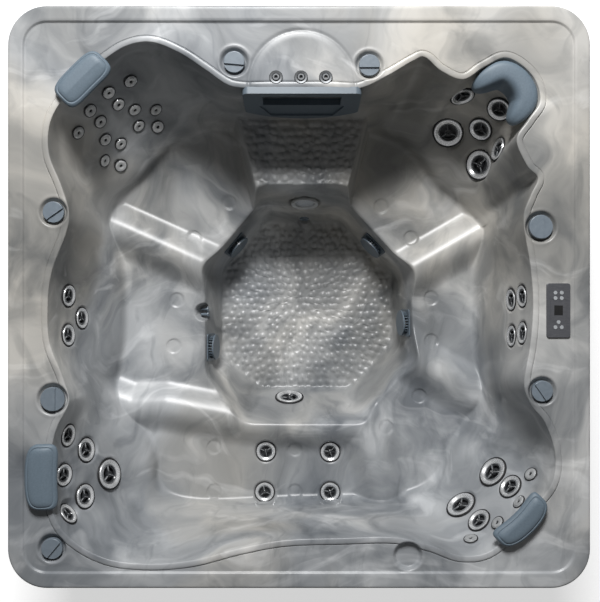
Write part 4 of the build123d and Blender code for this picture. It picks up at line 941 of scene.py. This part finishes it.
@dataclass
class Basin:
    """The moulded shell's visible surface, as rings of points round the tub."""

    around: int = 1440
    curve_samples: int = 48
    wall_rings: int = 58
    seat_rings: int = 66
    deck_rings: int = 40
    riser_rings: int = 30
    floor_rings: int = 82
    floor_power: float = 0.92
    bow_rings: int = 13
    bow_power: float = 0.6
    bead_width: float = 0.024
    bead_gap: float = 0.004
    # Distance beyond the bead, then rise
    groove: tuple = ((0.0030, -0.0004), (0.0022, -0.0026), (0.0006, -0.0026))
    lip_return: float = 0.020
    lip_seam: float = 0.0005
    lip_edge_rings: int = 6
    rim_span: tuple = (0.018, -0.004)
    # Inset beyond the rim's band, then height
    rim_ease: tuple = ((-0.001, RIM_HEIGHT - 0.0012), (0.002, DECK_HEIGHT + 0.0012), (0.005, DECK_HEIGHT))
    inner_rim: float = 0.006
    profile_samples: int = 241
    softening: int = 25
    roll_rings: int = 9
    roll_run: float = 0.030
    roll_start: float = 0.004
    roll_drop: float = 0.060
    tangent: int = 3
    settling: int = 4
    smoothing: int = 3
    relief: Relief = field(default_factory=Relief)

    def outlines(self) -> tuple:
        """Sample the basin's outlines evenly along the top one.

        Returns:
            The outline at the deck and the one at the crest level.
        """
        dense = closed_curve(plan(BASIN_SHARES), self.curve_samples)
        wrapped = np.vstack([dense, dense[:1]])
        steps = np.linalg.norm(np.diff(wrapped[:, :2], axis=0), axis=1)
        length = np.concatenate([[0.0], np.cumsum(steps)])
        wanted = np.linspace(0.0, length[-1], self.around, endpoint=False)
        even = np.stack([np.interp(wanted, length, wrapped[:, k]) for k in range(4)], axis=1)
        return even[:, :2], even[:, 2:]

    def lip_profile(self) -> list:
        """Give the lip and the rim as insets and heights, from behind the lip to the deck.

        Returns:
            One inset and height for each ring.
        """
        low, edge = RIM_HEIGHT - LIP_DROP, RIM_HEIGHT - LIP_EDGE
        start, end = self.rim_span
        profile = [(SKIN, low + self.lip_return), (SKIN, low), (self.lip_seam, low)]
        profile += [(0.0, height) for height in np.linspace(low + 0.001, edge, 5)]
        for turn in np.radians(np.linspace(15, 90, self.lip_edge_rings)):
            profile.append((LIP_EDGE * (1 - math.cos(turn)), RIM_HEIGHT - LIP_EDGE * (1 - math.sin(turn))))
        profile += [(inset, RIM_HEIGHT) for inset in np.linspace(start, RIM_BAND + end, 5)]
        return profile + [(RIM_BAND + inset, height) for inset, height in self.rim_ease]

    def deck(self, top: np.ndarray, outward: np.ndarray) -> np.ndarray:
        """Shape the lip, the rim, the deck and the bead.

        Args:
            top: The basin's outline at the deck.
            outward: The direction away from the basin at each of its places.

        Returns:
            The rings, from the outside inwards.
        """
        edge = top + outward * (self.bead_width + self.bead_gap)
        angles = np.arctan2(edge[:, 1], edge[:, 0])
        spin = np.stack([np.cos(angles), np.sin(angles)], axis=1)

        def square(inset: float) -> np.ndarray:
            """Give the rim's outline at this inset, at the deck's angles."""
            outline = square_outline(HALF - inset, CORNER_RADIUS - inset)
            return spin * polar_radius(outline, angles)[:, None]

        rings = [at_height(square(inset), height) for inset, height in self.lip_profile()]
        inner = square(RIM_BAND + self.inner_rim)
        for share in np.linspace(0.02, 1.0, self.deck_rings):
            rings.append(at_height(inner * (1 - share) + edge * share, DECK_HEIGHT))
        bead = [(self.bead_width + away, rise) for away, rise in self.groove]
        for turn in np.radians(np.linspace(0, 179.9, self.bow_rings)):
            rise = BEAD_HEIGHT * math.sin(turn) ** self.bow_power
            bead.append((self.bead_width / 2 * (1 + math.cos(turn)), rise))
        bead.append((0.0, 0.0))
        rings += [at_height(top + outward * away, DECK_HEIGHT + rise) for away, rise in bead]
        deck = np.array(rings)
        self.relief.shape_deck(deck, len(bead))
        return deck

    def wall(self, top: np.ndarray, low: np.ndarray) -> list:
        """Shape the wall and the roll at its foot.

        Args:
            top: The basin's outline at the deck.
            low: Its outline at the crest level.

        Returns:
            The rings, from the top down.
        """
        depths = np.linspace(0.0, 1.0, self.wall_rings)
        profile = np.array(PROFILE_SHARES)
        fine = np.linspace(-0.1, 1.1, self.profile_samples)
        kernel = np.hanning(self.softening) / np.hanning(self.softening).sum()
        runs = np.interp(fine, profile[:, 0], profile[:, 1])
        runs = np.convolve(np.pad(runs, self.softening // 2, mode="edge"), kernel, mode="valid")
        runs = np.interp(depths, fine, runs)
        runs[0] = 0.0
        rings = [at_height(top + (low - top) * run, DECK_HEIGHT + (CREST_HEIGHT - DECK_HEIGHT) * depth)
                 for depth, run in zip(depths, runs)]
        inward = -low / np.linalg.norm(low, axis=1)[:, None]
        for turn in np.radians(np.linspace(0, 90, self.roll_rings)[1:]):
            places = low + inward * (self.roll_run * (1 - math.cos(turn)) + self.roll_start)
            rings.append(at_height(places, CREST_HEIGHT - self.roll_drop * math.sin(turn)))
        return rings

    def rings(self) -> dict:
        """Work out every ring of the surface.

        Returns:
            Arrays of rings by section: lip and deck, wall, seats and footwell.
        """
        top, low = self.outlines()
        run = np.roll(top, -self.tangent, axis=0) - np.roll(top, self.tangent, axis=0)
        outward = np.stack([-run[:, 1], run[:, 0]], axis=1) / np.linalg.norm(run, axis=1)[:, None]
        deck, wall = self.deck(top, outward), self.wall(top, low)

        start = wall[-1][:, :2]
        well = Footwell(np.arctan2(start[:, 1], start[:, 0]))
        mouth_height = np.full(self.around, SEAT_HEIGHT)
        for _ in range(self.settling):
            mouth_height = self.relief.seats(well.outline(mouth_height))
        mouth = well.outline(mouth_height)
        seats = [at_height(start * (1 - share) + mouth * share, SEAT_HEIGHT)
                 for share in np.linspace(0.0, 1.0, self.seat_rings)[1:]]
        basin = np.array(wall + seats)
        flat = basin.reshape(-1, 3)
        flat[:, 2] = np.maximum(flat[:, 2], self.relief.seats(flat[:, :2]))

        wells = []
        for share in np.linspace(0.0, 1.0, self.riser_rings)[1:]:
            heights = mouth_height * (1 - share) + FLOOR_HEIGHT * share
            wells.append(at_height(well.outline(heights), heights))
        rim = well.outline(np.full(self.around, FLOOR_HEIGHT))
        for share in 1 - np.linspace(0.0, 1.0, self.floor_rings)[1:-1] ** self.floor_power:
            wells.append(at_height(rim * share, FLOOR_HEIGHT))

        whole = np.concatenate([basin, np.array(wells)])
        for _ in range(self.smoothing):
            whole[1:-1] = whole[1:-1] * 0.5 + (whole[:-2] + whole[2:]) * 0.25
        flat = whole.reshape(-1, 3)
        self.relief.sink_blanks(flat)
        self.relief.pebble(flat)
        Room().make(flat)
        return {
            "deck": np.concatenate([deck, whole[:1]]),
            "wall": whole[:len(wall)],
            "seats": whole[len(wall) - 1:len(basin)],
            "footwell": whole[len(basin) - 1:],
        }

    def skin(self, name: str, rings: np.ndarray, finish: Material) -> Object:
        """Join rings into one piece of the shell, and close the footwell's floor.

        Args:
            name: The section's name.
            rings: Its rings, from the outside inwards.
            finish: Its material.

        Returns:
            The piece.
        """
        around = rings.shape[1]
        piece = make_mesh(f"shell_{name}", rings.reshape(-1, 3), grid_faces(len(rings), around))
        shape = bmesh.new()
        shape.from_mesh(piece.data)
        if name == "footwell":
            last = list(shape.verts)[-around:]
            centre = shape.verts.new(sum((v.co for v in last), Vector()) / around)
            for vertex, beside in zip(last, last[1:] + last[:1]):
                shape.faces.new((vertex, beside, centre)).smooth = True
        shape.normal_update()
        if sum(face.normal.z * face.calc_area() for face in shape.faces) < 0:
            bmesh.ops.reverse_faces(shape, faces=shape.faces)
        shape.to_mesh(piece.data)
        shape.free()
        dress(piece, finish, "tub")
        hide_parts("acrylic_shell")
        return piece

    def build(self) -> list:
        """Make the shell's pieces and stand them in for the CAD shell.

        Returns:
            The pieces.
        """
        finish = ACRYLIC.material()
        sections = self.rings()
        sections["footwell"] = sections["footwell"][:, ::2]
        return [self.skin(name, rings, finish) for name, rings in sections.items()]


@dataclass
class Pillow:
    """A head pillow on the deck: its CAD node, its place, its turn and the bow of its long sides."""

    node: str
    share: tuple
    turn: float
    length: float
    depth: float
    bow: float
    slope: float = 0.26
    around: int = 160
    corner_powers: tuple = (0.42, 0.52)
    # Each ring from the underside to the crown: inset, then share of the height
    profile: tuple = (
        (0.030, 0.02), (0.014, 0.02), (0.007, 0.05), (0.002, 0.16), (0.0, 0.32), (0.0, 0.48),
        (0.001, 0.62), (0.004, 0.74), (0.008, 0.82), (0.0105, 0.85), (0.0118, 0.80), (0.0132, 0.80),
        (0.0145, 0.86), (0.019, 0.93), (0.027, 0.98), (0.036, 1.0),
    )
    crown_shares: tuple = (0.75, 0.5, 0.25, 0.08)
    bottom_share: float = 0.3

    def facing(self) -> np.ndarray:
        """Give the direction in the plan from the rim to the water."""
        spin = math.radians(self.turn)
        return np.array([math.sin(spin), -math.cos(spin)])

    def outline(self, inset: float) -> np.ndarray:
        """Give the pillow's outline in the plan.

        Args:
            inset: How far it lies inside the widest one.

        Returns:
            The outline's places.
        """
        half, side = self.length / 2 - inset, self.depth / 2 - inset
        turns = np.linspace(0, 2 * math.pi, self.around, endpoint=False)
        across, along = np.cos(turns), np.sin(turns)
        x = half * np.copysign(np.abs(across) ** self.corner_powers[0], across)
        y = side * np.copysign(np.abs(along) ** self.corner_powers[1], along)
        y = y + self.bow * (1 - (x / (self.length / 2)) ** 2)
        spin = math.radians(self.turn)
        return plan(self.share) + np.stack([x * math.cos(spin) - y * math.sin(spin),
                                            x * math.sin(spin) + y * math.cos(spin)], axis=1)

    def build(self, finish: Material) -> Object:
        """Make the pillow as a crowned pad with an inset seam line.

        Args:
            finish: Its material.

        Returns:
            The piece.
        """
        low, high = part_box(self.node)
        base, height = low.z, high.z - low.z
        rings = [at_height(self.outline(inset), base + share * height) for inset, share in self.profile]
        crown = rings[-1]
        middle = crown.mean(0)
        for share in self.crown_shares:
            rings.append(at_height((middle + (crown - middle) * share)[:, :2], base + height))
        rings = np.array(rings)
        inward = (rings[:, :, :2] - plan(self.share)) @ self.facing()
        rings[:, :, 2] -= self.slope * np.maximum(inward, 0.0) * (rings[:, :, 2] - base) / height
        bottom = middle + (rings[0] - middle) * self.bottom_share
        bottom[:, 2] = rings[0, :, 2]
        return pad(self.node, np.concatenate([bottom[None], rings]), finish)


@dataclass
class WrapPillow:
    """The pillow that wraps the rear right corner of the basin, hung down its wall."""

    node: str = "pillow_rear_right"
    first: float = 9.3
    last: float = 14.45
    samples: int = 48
    smoothing: int = 900
    stations: int = 60
    around: int = 48
    thickness: float = 0.092
    tall: float = 0.128
    bottom: float = 0.788
    setback: float = -0.012
    lean: float = 0.12
    corner_power: float = 0.6
    look_ahead: float = 0.01

    def path(self) -> np.ndarray:
        """Take the basin's edge behind the pillow, smoothed.

        Returns:
            Its places in the plan.
        """
        path = closed_curve(plan(BASIN_SHARES), self.samples)
        path = path[int(self.first * self.samples):int(self.last * self.samples), :2]
        for _ in range(self.smoothing):
            path[1:-1] = path[1:-1] * 0.5 + (path[:-2] + path[2:]) * 0.25
        return path

    def build(self, finish: Material) -> Object:
        """Sweep a padded section along the basin's edge.

        Args:
            finish: Its material.

        Returns:
            The piece.
        """
        path = self.path()
        steps = np.concatenate([[0.0], np.cumsum(np.linalg.norm(np.diff(path, axis=0), axis=1))])
        turns = np.linspace(0, 2 * math.pi, self.around, endpoint=False)
        across, along = (np.copysign(np.abs(wave) ** self.corner_power, wave)
                         for wave in (np.cos(turns), np.sin(turns)))
        rings = []
        for i in range(self.stations):
            share = (1 - math.cos(math.pi * i / (self.stations - 1))) / 2
            here, ahead, behind = (
                np.array([np.interp(share * steps[-1] + shift, steps, path[:, k]) for k in (0, 1)])
                for shift in (0.0, self.look_ahead, -self.look_ahead)
            )
            run = ahead - behind
            inward = np.array([run[1], -run[0]]) / np.linalg.norm(run)
            swell = max(1 - (2 * share - 1) ** 4, 0.0) ** 0.5
            rise = self.tall / 2 * (1 + swell * along)
            out = self.setback + self.thickness / 2 * (1 + swell * across) + (self.tall - rise) * self.lean
            rings.append(at_height(here + out[:, None] * inward, self.bottom + rise))
        return pad(self.node, np.array(rings), finish)


@dataclass
class JetTrim:
    """What trims the jets: a near-black band of painted shade round each, discs on the small ones, spokes
    and a lip on the others.
    """

    cluster_radius: float = 0.030
    ring_rise: float = 0.17
    face_share: float = 0.64
    spoke_share: float = 0.13
    # Shares of the ring's radius, then of its rise
    disc_shares: tuple = ((0.86, 0.35), (0.89, 1.2), (0.84, 1.7), (0.72, 1.9), (0.45, 1.6), (0.34, 1.4),
                          (0.285, 1.2), (0.265, 0.2))
    # The painted-shade band's width, then its inner edge, as shares of the ring's radius: for small jets,
    # then larger ones
    cluster_shade_band: tuple = (0.13, 0.90)
    larger_shade_band: tuple = (0.085, 0.99)
    # Shares of the face's radius, then of the ring's rise
    lip_shares: tuple = ((0.99, 0.30), (0.985, 0.52), (0.93, 0.52), (0.90, 0.25))
    # A spoke's ends: share of the face's radius, then widening; and its section: side, then level
    spoke_ends: tuple = ((0.02, 1.0), (0.92, 1.2))
    spoke_section: tuple = ((-1.0, -0.2), (-0.6, 1.0), (0.6, 1.0), (1.0, -0.2))
    spoke_rise: float = 0.45

    def disc(self, spot: Spot) -> tuple:
        """Shape a cluster jet's dished disc with its hole."""
        return self.turned(spot, spot.radius, self.disc_shares)

    def shade_band(self, spot: Spot) -> tuple:
        """Shape the near-black band round a jet, painted shade that stands in for the shade of its recess.

        Args:
            spot: Where the jet sits.

        Returns:
            The band's vertices and faces.
        """
        wide, inner = self.cluster_shade_band if spot.radius < self.cluster_radius else self.larger_shade_band
        shares = ((1 + wide, 0.0), (1 + wide * 0.9, 0.7), (1.01, 0.8), (inner, 0.7), (inner - 0.02, 0.2))
        return self.turned(spot, spot.radius, shares)

    def lip(self, spot: Spot) -> tuple:
        """Shape the bright narrow band round a larger jet's turning face."""
        return self.turned(spot, spot.radius * self.face_share, self.lip_shares, 40)

    def turned(self, spot: Spot, radius: float, shares: tuple, around: int = 32) -> tuple:
        """Turn a profile about a jet's axis.

        Args:
            spot: Where the jet sits.
            radius: The radius that the profile is a share of.
            shares: The profile, as shares of the radius and of the ring's rise.
            around: How many places each ring has.

        Returns:
            The vertices and the faces.
        """
        across, upward = spot.frame()
        rings = []
        for share, height in shares:
            for turn in np.linspace(0, 2 * math.pi, around, endpoint=False):
                side = across * math.cos(turn) + upward * math.sin(turn)
                rings.append(spot.centre + side * share * radius
                             + spot.facing * height * spot.radius * self.ring_rise)
        return np.array(rings), grid_faces(len(shares), around)

    def spokes(self, spot: Spot) -> tuple:
        """Shape a larger jet's three spokes.

        Args:
            spot: Where the jet sits.

        Returns:
            The spokes' vertices and faces.
        """
        across, upward = spot.frame()
        face = spot.radius * self.face_share
        rise = spot.radius * self.ring_rise * self.spoke_rise
        vertices, faces = [], []
        for turn in np.linspace(0, 2 * math.pi, 3, endpoint=False):
            out = across * math.cos(turn) + upward * math.sin(turn)
            side = np.cross(spot.facing, out)
            start = len(vertices)
            for share, wider in self.spoke_ends:
                half = face * self.spoke_share / 2 * wider
                for way, level in self.spoke_section:
                    vertices.append(spot.centre + out * face * share + side * way * half
                                    + spot.facing * level * rise)
            for k in range(4):
                ahead = (k + 1) % 4
                faces.append([start + k, start + ahead, start + 4 + ahead, start + 4 + k])
            faces.append([start + 3, start + 2, start + 1, start])
            faces.append([start + 4, start + 5, start + 6, start + 7])
        return np.array(vertices), np.array(faces)

    @staticmethod
    def piece(name: str, parts: list, finish: Material, body: str, slot: str) -> None:
        """Join shapes into one piece that rides on a body.

        Args:
            name: The piece's name.
            parts: Vertices and faces of each shape.
            finish: The piece's material.
            body: The body's name.
            slot: Not used.
        """
        starts = np.cumsum([0] + [len(places) for places, _ in parts])
        vertices = np.vstack([places for places, _ in parts])
        faces = np.vstack([quads + start for (_, quads), start in zip(parts, starts)])
        piece = make_mesh(name, vertices, faces)
        close_and_turn(piece, close=False)
        dress(piece, finish, body)

    def build(self) -> None:
        """Dress every jet."""
        disc, spoke = REAR_DISC_PAINTED_LIGHT.material(), SPOKE.material()
        places = fitting_spots("jet_rings")
        clusters = [spot for spot in places if spot.radius < self.cluster_radius]
        larger = [spot for spot in places if spot.radius >= self.cluster_radius]
        # A near-black band of painted shade round every jet, for the shade of its recess
        shade_bands = [self.shade_band(spot) for spot in places]
        self.piece("jet_painted_shade_bands", shade_bands, PAINTED_RECESS_SHADE.material(), "tub", "jet_face")
        # Painted light and shade: the rear discs get the lightened copy of the disc plastic, the front
        # discs the darkened copy
        rear = [self.disc(spot) for spot in clusters if spot.centre[1] > 0]
        front = [self.disc(spot) for spot in clusters if spot.centre[1] < 0]
        self.piece("cluster_jet_discs_rear", rear, disc, "tub", "jet_ring")
        self.piece("cluster_jet_discs_front", front, FRONT_DISC_PAINTED_SHADE.material(), "tub", "jet_ring")
        for name in sorted(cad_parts):
            if not name.startswith("jet_face_"):
                continue
            low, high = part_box(name)
            middle = np.array((low + high) / 2)
            nearest = min(larger, key=lambda spot: float(np.linalg.norm(spot.centre - middle)))
            larger = [spot for spot in larger if spot is not nearest]
            parts = [self.spokes(nearest), self.lip(nearest)]
            self.piece(name.replace("face", "spokes"), parts, spoke, f"{name}_body", "jet_ring")
        parts = [shape for spot in larger for shape in (self.spokes(spot), self.lip(spot))]
        self.piece("jet_spokes_fixed", parts, spoke, "tub", "jet_ring")


def dress_nodes() -> None:
    """Give every CAD node that stays in sight its finish."""
    for finish, starts in NODE_FINISHES.items():
        material = finish.material()
        for name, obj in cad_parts.items():
            if name.startswith(starts):
                for slot in obj.material_slots:
                    slot.material = material
                log.info("%s wears %s", name, finish.name)


@dataclass
class Studio:
    """The pale floor, the soft light and the camera above the tub."""

    camera_height: float = DECK_HEIGHT + 3.2
    pixel: float = 0.00384
    image_width: int = 600
    shift_pixels: tuple = (1.0, -4.0)
    sensor: float = 36.0
    floor_half: float = 40.0
    floor_drop: float = 0.001
    paper_gray: float = 0.9
    paper_glow: float = 0.6
    sky: float = 0.025
    glossy_sky: float = 0.36
    aim: tuple = (0.0, 0.0, 0.6)
    # Name, place, size and power
    lamps: tuple = (("key_lamp", (-0.35, 4.2, 5.1), 1.6, 425.0), ("fill_lamp", (1.8, -3.0, 5.6), 3.0, 6.0))

    def build(self) -> None:
        """Set the stage."""
        bpy.ops.object.select_all(action="DESELECT")
        bpy.ops.mesh.primitive_plane_add(size=2 * self.floor_half, location=(0, 0, -self.floor_drop))
        floor = bpy.context.object
        floor.name = "studio_floor"
        floor.data.materials.append(self.paper())
        for lamp in self.lamps:
            self.hang(*lamp)
        self.light_sky()
        self.place_camera()
        bpy.context.scene.view_settings.view_transform = "Standard"

    def light_sky(self) -> None:
        """Surround the tub with a sky that is white to look at, dim as light and pale in mirrors."""
        world = bpy.data.worlds.new("studio_world")
        world.use_nodes = True
        bpy.context.scene.world = world
        graph = Graph(world.node_tree)
        rays = graph.add("ShaderNodeLightPath", {})
        mirrored = graph.add("ShaderNodeMath", {0: rays.outputs["Is Glossy Ray"],
                                                1: self.glossy_sky - self.sky, 2: self.sky}, "MULTIPLY_ADD")
        seen = graph.add("ShaderNodeMath", {0: rays.outputs["Is Camera Ray"],
                                            1: mirrored.outputs["Value"]}, "MAXIMUM")
        graph.fill(world.node_tree.nodes["Background"], {"Color": (1.0, 1.0, 1.0, 1.0),
                                                         "Strength": seen.outputs["Value"]})

    def place_camera(self) -> None:
        """Hang the camera over the tub, with the photograph's scale at the deck."""
        data = bpy.data.cameras.new("view_camera")
        data.sensor_fit = "HORIZONTAL"
        data.sensor_width = self.sensor
        reach = self.camera_height - DECK_HEIGHT
        data.lens = self.sensor * reach / (self.image_width * self.pixel)
        data.shift_x, data.shift_y = (shift / self.image_width for shift in self.shift_pixels)
        camera = bpy.data.objects.new("view_camera", data)
        camera.location = (0.0, 0.0, self.camera_height)
        bpy.context.scene.collection.objects.link(camera)
        bpy.context.scene.camera = camera

    def hang(self, name: str, place: tuple, size: float, power: float) -> None:
        """Hang a square soft lamp that points at the tub.

        Args:
            name: The lamp's name.
            place: Where it hangs.
            size: Its width.
            power: Its power.
        """
        data = bpy.data.lights.new(name, "AREA")
        data.size = size
        data.energy = power
        lamp = bpy.data.objects.new(name, data)
        lamp.location = place
        lamp.rotation_euler = (Vector(self.aim) - Vector(place)).to_track_quat("-Z", "Y").to_euler()
        bpy.context.scene.collection.objects.link(lamp)

    def paper(self) -> Material:
        """Make the floor's white paper, which shows as white and keeps a soft shadow.

        Returns:
            The material.
        """
        mat = bpy.data.materials.new("studio_paper")
        mat.use_nodes = True
        graph = Graph(mat.node_tree)
        rays = graph.add("ShaderNodeLightPath", {})
        seen = graph.add("ShaderNodeMath", {0: rays.outputs["Is Camera Ray"], 1: self.paper_glow},
                         "MULTIPLY")
        graph.fill(mat.node_tree.nodes["Principled BSDF"], {
            "Base Color": (self.paper_gray, self.paper_gray, self.paper_gray, 1.0), "Roughness": 0.9,
            "Emission Color": (1.0, 1.0, 1.0, 1.0), "Emission Strength": seen.outputs["Value"]})
        return mat


def main() -> None:
    """Build the tub's pieces in order."""
    logging.basicConfig(level=logging.INFO, format="%(name)s: %(message)s")
    bpy.ops.object.select_all(action="DESELECT")
    Studio().build()
    dress_nodes()
    Basin().build()
    JetTrim().build()
    foam = FOAM.material()
    pillows = (
        Pillow("pillow_rear_left", (-0.738, 0.743), 45.0, 0.228, 0.120, 0.004),
        Pillow("pillow_front_left", (-0.871, -0.615), 90.0, 0.252, 0.122, 0.012),
        Pillow("pillow_front_right", (0.753, -0.757), -135.0, 0.236, 0.096, 0.022),
    )
    for pillow in (*pillows, WrapPillow()):
        pillow.build(foam)


if __name__ == "__main__":
    main()
